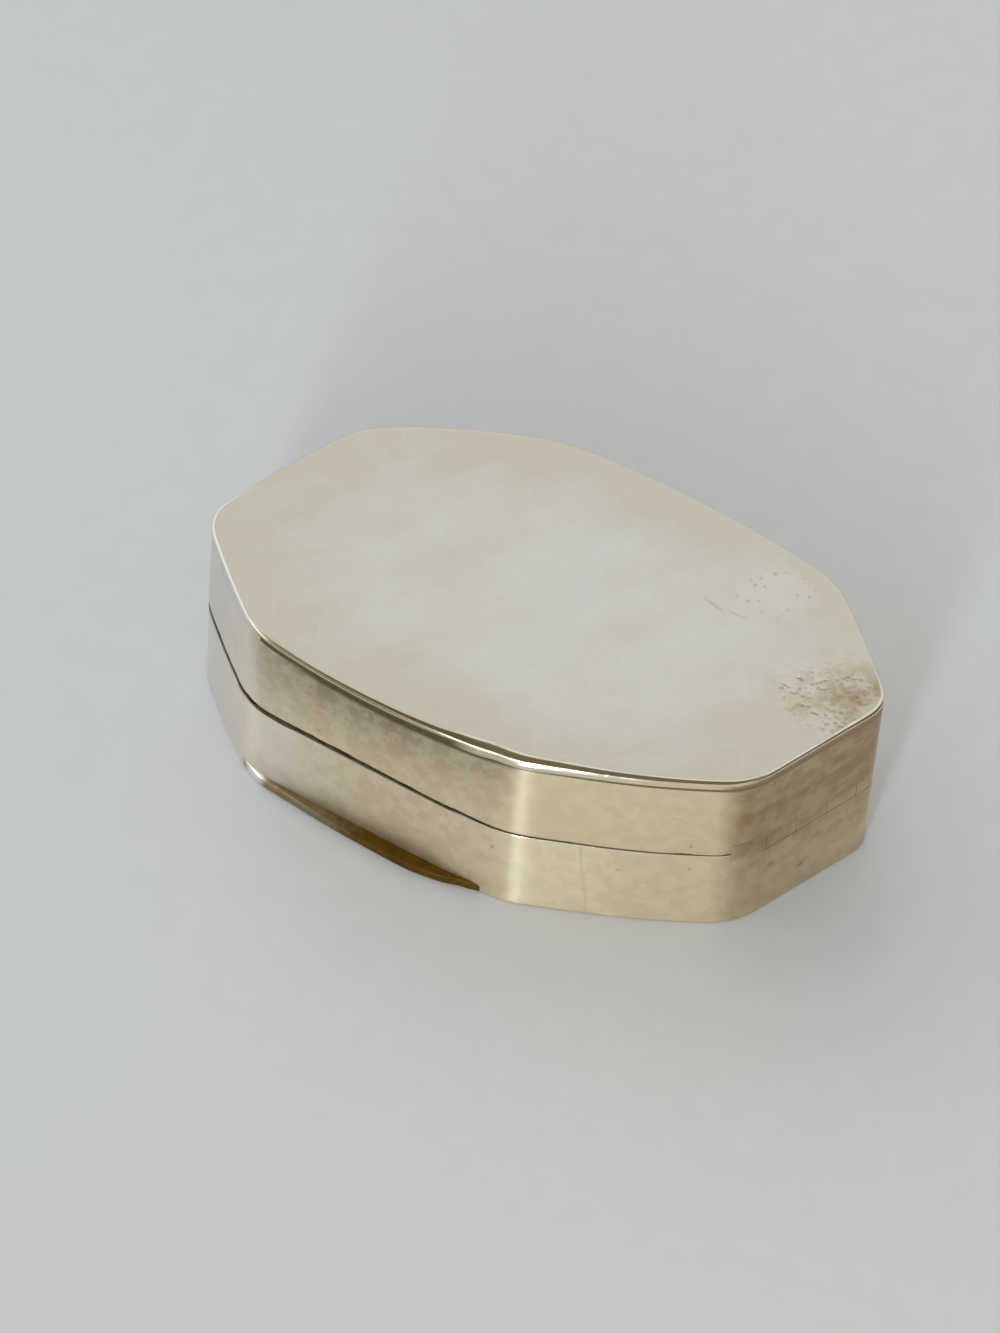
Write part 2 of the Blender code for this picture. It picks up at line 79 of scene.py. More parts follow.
# Outlines. A station is the direction of an outline's point from the middle, in degrees from +X, and the
# tables go from station to mm.
SPLINE_STEPS = 4  # fine points for each point of the CAD outline
LONG_SIDE = 1.2 * MM  # a longer side of the CAD outline gets more points, so that it stays straight
FILED = (0.05, 0.02)  # mm that a sheet's ledge is filed by, and how softly that ends where it is flush
LEDGE = (0.02, 0.1)  # mm; a ledge counts as none below the first and as full above the last
LEAST_FOOT = 0.004 * MM  # the base sheet is dark where it stands out further
FRONT_BENDS = ((-0.75, 0.75, 0.75, 0.055), (1.75, 1.05, 1.8, -0.112))  # mm: X, width each side, shift in Y
FOOT_BULGE = {-154: 0, -150: 0.1, -142: 0.06, -125: 0.14, -109: 0.28, -100: 0.2, -94: 0.02, -90: 0, 180: 0}
FOOT_SHOULDER = {-154: 0, -151: 0.36, -146: 0.34, -141: 0.12, -132: 0, 180: 0}

# Walls
LIP_ROUND = 0.03 * MM
BASE_LIP_ROUND = 0.045 * MM
SEAM_WEAR = 0.2 * MM  # how ragged the lips are
WEAR_SCALE = 1.3  # dents a mm
LEAST_WEAR = 0.2  # noise below it leaves no dent
LID_SEED, BASE_SEED = 3.0, 8.0
LIP_STEPS = 4
ON_LIP = 1.01  # a row this many roundings from a lip's end still counts as on it
WALL_ROWS = 20
INNER_ROWS = 4

# Sheets, with the rounding over and under the lid's edge: inset and drop over it, and inset under it
TOP_RINGS = 40
EDGE_ROWS = 8
UNDER_EDGE = 5  # marks the rounding under the edge until its material is known
INNERMOST = 0.02  # size of the innermost ring
DISH = 0.05 * MM  # how far the lid's middle lies below its rim
TOP_ROUND = {
    -180: 0.14, -154: 0.1, -149: 0.24, -144: 0.2, -140: 0.16, -130: 0.22, -115: 0.29, -104: 0.36, -97: 0.52,
    -90: 0.6, -82: 0.54, -72: 0.46, -60: 0.36, -40: 0.25, -32: 0.23, -26: 0.16, -12: 0.14, -2: 0.22, 6: 0.14,
    180: 0.14,
}
TOP_DROP = {
    -180: 0.12, -152: 0.1, -140: 0.12, -130: 0.16, -115: 0.24, -104: 0.34, -97: 0.44, -90: 0.46, -82: 0.44,
    -72: 0.38, -60: 0.26, -40: 0.17, -32: 0.16, -26: 0.12, -12: 0.12, -2: 0.15, 6: 0.12, 180: 0.12,
}
UNDER_ROUND = {
    -152: 0.01, -138: 0.12, -110: 0.13, -100: 0.06, -95: 0.03, -86: 0.008, -72: 0.03, -60: 0.07, -50: 0.1,
    -30: 0.11, -24: 0.06, -4: 0.06, 6: 0.008, 180: 0.015,
}
DARK_UNDER = 0.028 * MM  # a rounding under the edge that is larger than this is tarnished and dark, partly a painted shadow under the overhang
FOOT_UNDER_ROUND = 0.1 * MM
FOOT_OVER_ROUND = (0.0005 * MM, 0.03 * MM)  # where flush, and on the ledge
CRISP = 0.006 * MM  # how near a sheet's upright part its rounding is felt
RIM_UNDER = 0.6 * MM  # width of the tarnished ring under a sheet's edge

# Hinge
TUBE_PLAY = 0.008 * MM
TUBE_LONG = 0.01 * MM  # how far each tube reaches into the gaps beside it
TUBE_STEPS = 96
TUBE_EDGE = 30  # degrees from which an edge is sharp
TUBE_BORE = 0.24 * MM
PIN_SHORT = 0.9 * MM  # how far the pin and its bore end inside the row of tubes

# Grille
HOLE_POINTS = 40
OUTLINE_STEPS = 2
SHEET_BEVEL = 0.03 * MM
BEVEL_STEPS = 2
GRILLE_EDGE = 40

# Sponge
SPONGE_VOXEL = 0.18 * MM
PORE_SCALE = 900  # large pores a metre
SMALL_PORES = 2.3  # how many times more of the small ones
SMALL_SHIFT = Vector((7, 3, 1))
PORE_SIZE = 0.45  # radius in cells
PORE_FALL = 0.7  # below 1, a pore's sides are steeper
SMALL_DEPTH = 0.45  # of a large pore's
PORE_DEPTH = 0.55 * MM
LUMP_SCALE = 260  # lumps a metre
LUMP_DEPTH = 0.12 * MM

# Stains: place, and the distances at which one starts to fade and is gone, in mm
BROWNED = ((14.6, -0.2, 10.4), (0.3, 3.0))
PITTED = ((13.0, -0.6, 10.4), (1.2, 2.9))
SPECKLED = ((9.6, 4.3, 10.4), (0.6, 2.4))
TOP_MARKS = (
    ((-6.72, 4.25, 10.3), (0.03, 0.12)),
    ((-12.14, -1.24, 10.3), (0.03, 0.12)),
    ((-5.02, 1.04, 10.3), (0.02, 0.1)),
    ((-1.2, -2.31, 10.3), (0.01, 0.08)),
    ((0.18, -6.56, 10.3), (0.01, 0.08)),
)
BLOTCHES = (
    ((13.25, -3.96, 5.5), (0.05, 0.34)),
    ((13.59, -3.44, 1.7), (0.05, 0.3)),
    ((12.57, -5.0, 3.1), (0.05, 0.28)),
)
# Place of a painted glint on the base sheet's left front corner, with its distances
FOOT_GLINT = ((-11.3, -6.3, 0.4), (0.4, 0.9))
STAIN_RAGGED = 2.4 * MM  # how far noise moves the outline of the top's stains
SCRATCHES = (((6.2, 2.85), (7.9, 2.1), 0.1), ((7.3, 2.5), (8.9, 2.2), 0.08))  # mm: ends and half width

# Where the finish changes, as a pair in mm: from where it starts to where it is full or gone.
# The last letter of a name is the coordinate.
WARM_X = (-15.0, -8.0)
PALE_BACK_Y = (-2.0, 5.0)
LID_SHADE_START_X = (1.4, 2.4)
LID_SHADE_END_X = (3.0, 8.0)
LIGHTER_LEFT_END_X = (-11.0, -5.0)
GREY_END_X = (-12.5, -10.5)
GREY_BACK_Y = (-0.8, 1.8)
LIP_END_X = (-2.5, -0.5)  # the base's lip is dark and dented up to there
LIP_END_Z = (6.0, 8.0)
SHADE_START_X = (-12.0, -8.0)
SHADE_END_X = (-5.0, -1.0)
SHADE_Z = (5.2, 9.8)
FOOT_SHADE_Z = (0.4, 2.6)
HINGE_BROWN_Z = (1.0, 7.0)
LEDGE_SHADOW_START_X = (-11.0, -8.0)
JOINT_START_X = (0.5, 6.0)
DARK_EDGE_END_X = (-1.6, -0.2)
CLEAN_SEAM_X = (-1.0, 4.0)  # the seam holds less tarnish past it
BROWN_FOOT_X = (-7.0, -4.5)  # the foot's ledge turns from grey to dark brown
FOOT_TIP_X = (0.1, 0.7)  # the foot's dark tarnish and painted reflection narrow to nothing
SOLDER_LINE_X = (4.7, 5.15)  # where it is at the seam and at the foot of the front wall

# Depth below the lid sheet's underside, as a pair in mm
LEDGE_SHADOW_DEPTH = (0.0, 0.3)
JOINT_TOP = (-0.16, -0.07)
JOINT_FOOT = (0.0, 0.1)
HINGE_JOINT_TOP = (-0.3, -0.2)
HINGE_JOINT_FOOT = (0.06, 0.15)
# Painted shadow on the lower part of the lid sheet's front edge:
DARK_EDGE = (-0.38, -0.28)
UNDER_LEDGE = 1.425  # depth of the painted shadow and tarnish under the lid's ledge, for each length of the ledge

# How far out along a side's own direction its finish starts and is full, in mm
HINGE_WALL = (12.4, 13.2)
FRONT_WALL = (8.3, 8.7)
FRONT_AZIMUTH = -12.3  # direction that the front left side faces

SEAM_HEIGHT = 5.0  # mm
SEAM_BLEND = 0.1  # mm to each side of it
FOOT_TIP_HEIGHTS = (0.56, -0.04)  # mm: top of the foot's dark tarnish and painted reflection before its tip and past it
FOOT_TIP_BLEND = (-0.03, 0.03)
BROWN_RAGGED = 1.5 * MM  # how far noise moves the start of the foot's brown
SOLDER_HALF_WIDTHS = (0.03, 0.09)  # mm: full and gone

# Floor
FLOOR_SIZE = 6  # m
FLOOR_GAP = 0.02 * MM
FLOOR_WARM_LIGHT = (-15.0, 45.0)  # mm along the diagonal from the back left, from cool to warm: a painted warm light towards the front right

# Surroundings: azimuth, elevation, inner and outer radius in degrees, and colour
SKY_PARTS = (((-124, 38, 15, 50), (1.4, 1.4, 1.4)),)
ROOM_PARTS = (
    ((-165, 48, 20, 50), (0.84, 0.845, 0.85)),
    ((20, 5, 25, 55), (0.62, 0.54, 0.41)),
    ((-45, 20, 14, 30), (0.25, 0.2, 0.13)),
    ((95, 15, 25, 50), (0.12, 0.09, 0.06)),
    ((10, 75, 30, 37), (0.17, 0.14, 0.085)),
    ((-61, 21, 5, 13), (4.0, 4.0, 4.0)),
    ((-11, 40, 4, 7), (5.0, 5.0, 5.0)),
)

# The lamp's azimuth, elevation, distance and size in m, power in W and colour
WINDOW = (1.6, 24, 0.5, (0.044, 0.4), 0.92, (0.87, 1.01, 1.2))

HINGE = next(j for j in frame["joints"] if j["name"] == "lid_hinge")
HINGE_POINT = Vector(HINGE["pos_m"])
HINGE_AXIS = Vector(HINGE["axis"]).normalized()
HINGE_AZIMUTH = math.degrees(math.atan2(HINGE_AXIS.y, HINGE_AXIS.x))  # direction that the hinge side faces


def direction(azimuth, elevation):
    """Unit vector towards an azimuth, from the front round by the right, and an elevation, in degrees."""
    a, e = math.radians(azimuth), math.radians(elevation)
    return Vector((math.sin(a) * math.cos(e), -math.cos(a) * math.cos(e), math.sin(e)))


def configure(thing, **settings):
    for key, value in settings.items():
        setattr(thing, key, value)


# Small helpers for shader nodes
def is_socket(value):
    return isinstance(value, bpy.types.NodeSocket)


def add(kind, settings=None, values=(), tree=None, **inputs):
    """Adds a node, to the tree of its inputs. They are set in turn or by name, and a socket is linked."""
    tree = tree or next(value.id_data for value in (*values, *inputs.values()) if is_socket(value))
    made = tree.nodes.new("ShaderNode" + kind)
    configure(made, **(settings or {}))
    for socket, value in zip(made.inputs, values):
        plug(socket, value)
    connect(made, **inputs)
    return made


def connect(node, **inputs):
    for key, value in inputs.items():
        plug(node.inputs[key.replace("_", " ")], value)


def plug(socket, value):
    if is_socket(value):
        socket.id_data.links.new(value, socket)
    else:
        socket.default_value = value


def maths(operation, result, *others):
    """A number from one or more, taken in turn."""
    for other in others or [0.0]:
        result = add("Math", {"operation": operation}, (result, other)).outputs[0]
    return result


def total(*values):
    return maths("ADD", *values)


def scaled(*values):
    return maths("MULTIPLY", *values)


def highest(*values):
    return maths("MAXIMUM", *values)


def less(first, second):
    return maths("SUBTRACT", first, second)


def vector_maths(operation, *values):
    return add("VectorMath", {"operation": operation}, values).outputs


def mixed(factor, first, second):
    """Colour between two others, each a socket or red, green and blue."""
    made = add("Mix", {"data_type": "RGBA"}, (factor,))
    for socket, value in zip(made.inputs[6:8], (first, second)):
        plug(socket, value if is_socket(value) else (*value, 1.0))
    return made.outputs[2]


def stepped(factor, low, high, start=0.0, end=1.0):
    """Smooth step of a number from low..high to start..end."""
    kind = {"interpolation_type": "SMOOTHSTEP"}
    return add("MapRange", kind, (factor, low, high, start, end)).outputs[0]


def ramp(length, ends, start=0.0, end=1.0):
    """Smooth step over a pair of lengths in mm."""
    return stepped(length, ends[0] * MM, ends[1] * MM, start, end)


def cloud(where, scale, detail=3.0, roughness=0.5):
    """Noise in the object's own space, with so many features a metre."""
    return add("TexNoise", Vector=where, Scale=scale, Detail=detail, Roughness=roughness).outputs[0]


def coordinates(where):
    return add("SeparateXYZ", Vector=where).outputs


def streaks(where, turn, along, across, upward, detail=2.0):
    """Noise drawn out along one direction in the plan."""
    size = (1 / along, 1 / across, 1 / upward)
    kind = {"vector_type": "TEXTURE"}
    turned = add("Mapping", kind, Vector=where, Rotation=(0, 0, turn), Scale=size)
    return cloud(turned.outputs[0], 1.0, detail, 0.6)


def shaken(where, scale, amount):
    """A place moved about by noise, so that outlines come out ragged."""
    colours = add("TexNoise", Vector=where, Scale=scale, Detail=2.0).outputs[1]
    centred = vector_maths("SUBTRACT", colours, (0.5, 0.5, 0.5))[0]
    return vector_maths("MULTIPLY_ADD", centred, (amount, amount, amount), where)[0]


def nearness(where, stain):
    """One near a stain's point, and nothing past its outer distance."""
    point, distances = stain
    away = vector_maths("DISTANCE", where, Vector(point) * MM)["Value"]
    return ramp(away, distances, 1.0, 0.0)


def reach(where, way):
    """How far a point lies along a direction."""
    return vector_maths("DOT_PRODUCT", where, way)["Value"]


def outward(where, azimuth):
    """How far a point lies from the middle towards an azimuth."""
    return reach(where, direction(azimuth, 0))


def scratch(where, start, end, width):
    """One on a straight scratch in the plan, fading to its ends."""
    first, last = Vector((*start, 0)) * MM, Vector((*end, 0)) * MM
    way = (last - first).normalized()
    across = Vector((-way.y, way.x, 0))
    run = less(reach(where, way), first.dot(way))
    away = maths("ABSOLUTE", less(reach(where, across), first.dot(across)))
    length = (last - first).length
    beginning = stepped(run, 0.0, length * 0.4)
    ending = stepped(run, length * 0.5, length, 1.0, 0.0)
    return scaled(beginning, ending, ramp(away, (width * 0.2, width), 1.0, 0.0))


def specks(where, scale):
    """Small round pits, in some of the cells of a pattern."""
    cells = add("TexVoronoi", Vector=where, Scale=float(scale))
    dots = stepped(cells.outputs["Distance"], 0.16, 0.32, 1.0, 0.0)
    return scaled(dots, stepped(cloud(where, scale * 0.45, 1.0), 0.42, 0.5))


def new_material(name, **settings):
    made = bpy.data.materials.new(name)
    made.use_nodes = True
    shader = made.node_tree.nodes["Principled BSDF"]
    connect(shader, **settings)
    return made, shader, add("TexCoord", tree=made.node_tree).outputs["Object"]


def attribute(where, name):
    return add("Attribute", {"attribute_name": name}, tree=where.id_data).outputs["Fac"]


def hairlines(where, turns, along=380, across=9000, upward=380):
    """Fine scratches in several directions."""
    lines = [streaks(where, turn, along, across, upward, 1.0) for turn in turns]
    return highest(*[stepped(line, 0.61, 0.7) for line in lines])


def finish_metal(shader, colour, rough, height, bump=0.004):
    made = add("Bump", Strength=0.35, Distance=bump * MM, Height=height)
    connect(shader, Base_Color=colour, Roughness=rough, Normal=made.outputs[0])


# The lid's top
def top_tarnish_and_reflection(where):
    """How warm the top is: least in the middle and most at the rim, partly tarnish and partly a painted reflection
    of the dished rim.
    """
    rimward = attribute(where, "rimward")
    broad = cloud(where, 170, 2.0)
    mottle = cloud(where, 900, 5.0, 0.6)
    wiped = streaks(where, 0.75, 110, 420, 110, 3.0)
    # Tarnish and a painted reflection: warmer and darker towards the rim.
    warm = total(
        stepped(rimward, 0.45, 1.05, 0.0, 0.75), stepped(broad, 0.35, 0.7, 0.0, 0.35),
        stepped(wiped, 0.45, 0.68, 0.0, 0.3), stepped(mottle, 0.4, 0.7, 0.0, 0.2),
    )
    return maths("MINIMUM", warm, 1.0)


def top_marks(where, pitted):
    """Pits, dents and scratches."""
    pits = scaled(specks(where, 2600), pitted, 0.6)
    dents = [nearness(where, mark) for mark in TOP_MARKS]
    lines = [scaled(scratch(where, *line), 0.36) for line in SCRATCHES]
    return highest(pits, *dents, *lines)


def silver_top():
    """Worn polished silver with a pitted stain at the hinge end."""
    made, shader, where = new_material("silver_top", Metallic=0.94)
    warm = top_tarnish_and_reflection(where)
    colour = mixed(warm, (0.685, 0.68, 0.635), (0.65, 0.608, 0.49))
    about = shaken(where, 420, STAIN_RAGGED)
    pitted, browned, speckled = [nearness(about, stain) for stain in (PITTED, BROWNED, SPECKLED)]
    colour = mixed(scaled(speckled, 0.6), colour, (0.72, 0.69, 0.63))
    patchy = stepped(cloud(where, 900, 3.0, 0.6), 0.38, 0.62, 0.3, 1.0)
    stained = scaled(highest(scaled(browned, 0.85), scaled(pitted, 0.3)), patchy)
    colour = mixed(stained, colour, (0.42, 0.31, 0.17))
    relief = scaled(stepped(cloud(where, 2700, 1.0), 0.4, 0.62), pitted)
    colour = mixed(scaled(relief, 0.25), colour, (0.85, 0.8, 0.66))
    marks = top_marks(where, highest(pitted, speckled))
    colour = mixed(scaled(marks, 0.75), colour, (0.25, 0.2, 0.13))
    rubbed = hairlines(where, (0.3, 0.75, 1.9, 2.7), 260, 2600, 260)
    colour = mixed(scaled(rubbed, 0.07), colour, (0.8, 0.78, 0.72))
    rough = total(0.285, scaled(warm, 0.04), scaled(stained, 0.2))
    grain = cloud(where, 900, 2.0)
    height = total(scaled(grain, 2.0), scaled(marks, -5.0), scaled(relief, 20.0))
    finish_metal(shader, colour, rough, height)
    return made


# The side walls
def wall_metal(where, x, y, on_base, shade, patina):
    """Silver that is neutral at the left end and the back and warm elsewhere, with painted shade making the lid's
    right duller.
    """
    ruddy = stepped(cloud(where, 520, 2.0), 0.42, 0.58)
    warm = mixed(shade, (0.98, 0.845, 0.6), (0.92, 0.775, 0.525))
    toned = mixed(ruddy, (0.86, 0.73, 0.48), (0.9, 0.7, 0.45))
    warm = mixed(scaled(patina, 0.6), warm, toned)
    neutral = mixed(shade, (0.81, 0.785, 0.73), (0.71, 0.68, 0.62))
    warmth = scaled(ramp(x, WARM_X), ramp(y, PALE_BACK_Y, 1.0, 0.4))
    # Painted shade: the lid's wall is darker right of the front bend's highlight.
    rubbed = scaled(ramp(x, LID_SHADE_START_X), ramp(x, LID_SHADE_END_X, 0.3, 0.0), less(1.0, on_base))
    return mixed(rubbed, mixed(warmth, neutral, warm), (0.6, 0.47, 0.27))


def front_sheen_and_shade(x, z, on_base, patina, front, colour):
    """The front left side: a painted lighter reflection at the base's left, and painted shade under the lid's
    ledge and at the foot.
    """
    # Painted reflection: the base's front left is made lighter, as it mirrors the bright floor there.
    polished = scaled(on_base, ramp(x, LIGHTER_LEFT_END_X, 0.85, 0.0), front)
    colour = mixed(polished, colour, (1.0, 0.94, 0.8))
    # Painted shade: darker under the lid's ledge and towards the foot.
    high, low = ramp(z, SHADE_Z, 0.2, 0.95), ramp(z, FOOT_SHADE_Z, 0.35, 0.0)
    fading = maths("MINIMUM", ramp(x, SHADE_END_X, 1.0, 0.7), ramp(x, SHADE_START_X, 0.6, 1.0))
    patchy = stepped(patina, 0.0, 1.0, 0.8, 1.06)
    shade = scaled(total(high, low), patchy, front, fading)
    return mixed(shade, colour, (0.36, 0.285, 0.185))


def below_sheet(where):
    """How far a point lies below the lid sheet's underside."""
    flat, rest = about_hinge(-lid_tilt()), about_hinge(lid_tilt())
    up = rest.to_3x3() @ Vector((0, 0, 1))
    underside = up.dot(rest @ Vector((0, 0, heights_of("lid_plate", flat)[0])))
    return less(underside, reach(where, up))


def sheet_joint_and_shadow(where, x, y, front, hinge):
    """Dark line under the lid's sheet: painted shadow and tarnish under the ledge at the front left, dark joints
    at the front right and the hinge.
    """
    below = below_sheet(where)
    ledge = attribute(where, "ledge")
    past = less(below, scaled(ledge, UNDER_LEDGE))
    # Painted shadow, with some tarnish, on the wall just under the lid's ledge at the front left.
    corner = scaled(ramp(past, LEDGE_SHADOW_DEPTH, 0.95, 0.0), front, ramp(x, LEDGE_SHADOW_START_X))
    joint = scaled(
        ramp(below, JOINT_TOP), ramp(below, JOINT_FOOT, 0.85, 0.0),
        ramp(x, JOINT_START_X), maths("LESS_THAN", y, 0.0),
    )
    end = scaled(ramp(below, HINGE_JOINT_TOP), ramp(below, HINGE_JOINT_FOOT, 0.92, 0.0), hinge)
    return highest(corner, joint, end)


def hinge_side_brown(where, z, patina):
    """Darker brown on the hinge side, drawn out along it, and darker higher up."""
    drawn = add("Mapping", Vector=where, Scale=(160, 160, 900)).outputs[0]
    lengthways = stepped(cloud(drawn, 1.0, 3.0, 0.55), 0.35, 0.65, 0.0, 0.18)
    hinge_brown = total(0.6, lengthways, scaled(patina, 0.14))
    return scaled(hinge_brown, ramp(z, HINGE_BROWN_Z, 0.62, 1.16))


def solder_line(x, y, z):
    """Thin upright line of hard solder on the base's front wall."""
    top, foot = SOLDER_LINE_X
    middle = stepped(z, 0.0, SEAM_HEIGHT * MM, foot * MM, top * MM)
    away = maths("ABSOLUTE", less(x, middle))
    front = maths("LESS_THAN", y, 0.0)
    low = maths("LESS_THAN", z, SEAM_HEIGHT * MM)
    return scaled(ramp(away, SOLDER_HALF_WIDTHS, 0.2, 0.0), front, low)


def silver_wall():
    """Warm silver, browner at the hinge, and polished along its length."""
    made, shader, where = new_material(
        "silver_wall", Metallic=0.86, Anisotropic=1.0, Anisotropic_Rotation=0.25
    )
    tangent = add("Tangent", {"direction_type": "RADIAL", "axis": "Z"}, tree=made.node_tree)
    connect(shader, Tangent=tangent.outputs[0])
    x, y, z = coordinates(where)
    on_base = ramp(z, (SEAM_HEIGHT - SEAM_BLEND, SEAM_HEIGHT + SEAM_BLEND), 1.0, 0.0)
    front = ramp(outward(where, FRONT_AZIMUTH), FRONT_WALL)
    hinge = ramp(outward(where, HINGE_AZIMUTH), HINGE_WALL)
    broad = stepped(cloud(where, 150, 3.0), 0.35, 0.7, 0.0, 0.5)
    mottle = cloud(where, 1300, 5.0, 0.62)
    shade = total(broad, stepped(mottle, 0.35, 0.7, 0.0, 0.5))
    shade = scaled(shade, total(1.0, scaled(on_base, -0.6)))
    patina = stepped(cloud(where, 1200, 4.0, 0.65), 0.4, 0.6)
    colour = wall_metal(where, x, y, on_base, shade, patina)
    colour = front_sheen_and_shade(x, z, on_base, patina, front, colour)
    # Painted shadow under the front left ledge, and dark joints under the sheet at the front right and the hinge.
    colour = mixed(sheet_joint_and_shadow(where, x, y, front, hinge), colour, (0.13, 0.08, 0.012))
    # Darker brown on the hinge side.
    hinge_brown = scaled(hinge_side_brown(where, z, patina), hinge)
    colour = mixed(hinge_brown, colour, (0.43, 0.29, 0.155))
    blotches = highest(*[nearness(where, blotch) for blotch in BLOTCHES])
    blotches = scaled(blotches, stepped(mottle, 0.35, 0.6, 0.2, 0.6))
    colour = mixed(blotches, colour, (0.2, 0.13, 0.07))
    spots = stepped(cloud(where, 2300, 2.0, 0.5), 0.7, 0.78)
    colour = mixed(scaled(spots, 0.45), colour, (0.25, 0.18, 0.1))
    colour = mixed(solder_line(x, y, z), colour, (0.42, 0.36, 0.22))
    hairs = hairlines(where, (0.0, 0.6, 1.9), 500, 8000, 8000)
    rough = total(0.25, scaled(shade, 0.01), scaled(hairs, 0.008))
    height = total(scaled(cloud(where, 1300, 2.0), 3.0), scaled(spots, -2.0))
    finish_metal(shader, colour, rough, height)
    return made


# Other finishes
def silver_edge():
    """Edges that handling has kept bright, but browner at the front left from tarnish and a painted darker
    reflection, with a dark line of painted shadow along the lower part of that edge.
    """
    made, shader, where = new_material("silver_edge")
    mottle = cloud(where, 1100, 4.0, 0.6)
    hairs = hairlines(where, (0.2, 1.0, 2.2))
    x, y, z = coordinates(where)
    colour = mixed(stepped(mottle, 0.35, 0.7), (0.86, 0.81, 0.69), (0.76, 0.69, 0.55))
    colour = mixed(ramp(x, GREY_END_X, 1.0, 0.0), colour, (0.85, 0.85, 0.82))
    colour = mixed(ramp(y, GREY_BACK_Y), colour, (0.64, 0.6, 0.5))
    front = ramp(outward(where, FRONT_AZIMUTH), FRONT_WALL)
    # Tarnish, and a painted darker reflection on the lid's edge: edges at the front left are browner.
    colour = mixed(scaled(front, 0.45), colour, (0.42, 0.35, 0.2))
    # Painted shadow: the lower part of the front left edge is dark, and neither metal nor shiny there.
    dark = ramp(below_sheet(where), DARK_EDGE, 0.0, 0.95)
    dark = scaled(front, dark, ramp(x, DARK_EDGE_END_X, 1.0, 0.0))
    colour = mixed(dark, colour, (0.07, 0.05, 0.01))
    lip = scaled(ramp(x, LIP_END_X, 0.85, 0.0), ramp(z, LIP_END_Z, 1.0, 0.0))
    colour = mixed(lip, colour, (0.2, 0.15, 0.09))
    unshadowed = less(1.0, dark)
    connect(shader, Metallic=unshadowed, Specular_IOR_Level=scaled(unshadowed, 0.5))
    rough = total(0.11, stepped(mottle, 0.4, 0.7, 0.0, 0.06), scaled(hairs, 0.06))
    finish_metal(shader, colour, rough, scaled(cloud(where, 1100, 2.0), 2.0))
    return made


def silver_foot():
    """Ledge of the base sheet: dark brown at the front, thinner and greyer to the left, partly tarnish and partly
    a painted dark reflection, with a painted glint at its left corner.
    """
    made, shader, where = new_material("silver_foot", Metallic=0.9)
    mottle = cloud(where, 1400, 4.0, 0.6)
    blend = stepped(mottle, 0.35, 0.7)
    x, _, z = coordinates(where)
    # Tarnish and a painted dark reflection: the ledge is dark brown at the front and grey to the left.
    dark = ramp(total(x, scaled(mottle, BROWN_RAGGED)), BROWN_FOOT_X)
    grey = mixed(blend, (0.3, 0.25, 0.16), (0.22, 0.17, 0.08))
    brown = mixed(blend, (0.17, 0.1, 0.012), (0.1, 0.055, 0.006))
    # Painted glint: a near-white, smoother spot at the sheet's left front corner.
    worn = nearness(where, FOOT_GLINT)
    colour = mixed(scaled(worn, 0.9), mixed(dark, grey, brown), (1.0, 0.97, 0.9))
    limit = ramp(x, FOOT_TIP_X, *[height * MM for height in FOOT_TIP_HEIGHTS])
    past = less(z, limit)
    colour = mixed(ramp(past, FOOT_TIP_BLEND), colour, (0.42, 0.35, 0.21))
    rough = total(0.4, stepped(mottle, 0.4, 0.7, 0.0, 0.1), scaled(worn, -0.26))
    finish_metal(shader, colour, rough, cloud(where, 1400, 2.0))
    return made


def gilding():
    """Satin gilding, worn thin in places."""
    made, shader, where = new_material("gilt_inside", Metallic=1.0)
    broad = cloud(where, 260, 3.0)
    mottle = cloud(where, 1500, 5.0, 0.6)
    colour = mixed(stepped(broad, 0.4, 0.65), (0.92, 0.67, 0.3), (0.82, 0.55, 0.22))
    worn = stepped(mottle, 0.58, 0.72, 0.0, 0.5)
    colour = mixed(worn, colour, (0.84, 0.76, 0.58))
    hairs = hairlines(where, (0.3, 1.7))
    rough = total(0.28, scaled(worn, 0.15), scaled(hairs, 0.06))
    height = total(scaled(hairs, -0.5), scaled(mottle, 3.0))
    finish_metal(shader, colour, rough, height)
    return made


def tarnish():
    """Dark tarnish and old polish that fill the joints."""
    made, shader, where = new_material("joint_tarnish", Specular_IOR_Level=0.0)
    grain = cloud(where, 2500, 4.0, 0.6)
    colour = mixed(stepped(grain, 0.4, 0.65), (0.05, 0.035, 0.018), (0.16, 0.12, 0.07))
    x, y, _ = coordinates(where)
    front = maths("LESS_THAN", y, 0.0)
    cleaner = scaled(ramp(x, CLEAN_SEAM_X), front, 0.8)
    colour = mixed(cleaner, colour, (0.28, 0.21, 0.12))
    finish_metal(shader, colour, stepped(grain, 0.3, 0.7, 0.55, 0.8), grain, 0.02)
    return made


def wire():
    """Drawn wire of the pins."""
    made, shader, where = new_material("pin_wire", Metallic=1.0)
    grain = cloud(where, 3000, 4.0, 0.6)
    colour = mixed(stepped(grain, 0.35, 0.7), (0.74, 0.71, 0.64), (0.55, 0.48, 0.36))
    finish_metal(shader, colour, stepped(grain, 0.3, 0.7, 0.3, 0.45), grain)
    return made


def natural_sponge():
    made, shader, where = new_material("natural_sponge", Roughness=0.95)
    hollow = attribute(where, "hollow")
    fine = cloud(where, 5200, 4.0, 0.65)
    cells = add("TexVoronoi", Vector=where, Scale=3800.0).outputs["Distance"]
    depth = scaled(stepped(cells, 0.05, 0.5), fine)
    # Painted shade: the sponge is darker in its pores, the deeper the darker.
    shade = total(scaled(hollow, -0.75), stepped(depth, 0.02, 0.4))
    colour = mixed(highest(shade, 0.0), (0.14, 0.08, 0.03), (0.66, 0.5, 0.28))
    bump = add("Bump", Strength=0.8, Distance=0.1 * MM, Height=depth)
    connect(shader, Base_Color=colour, Normal=bump.outputs[0])
    return made


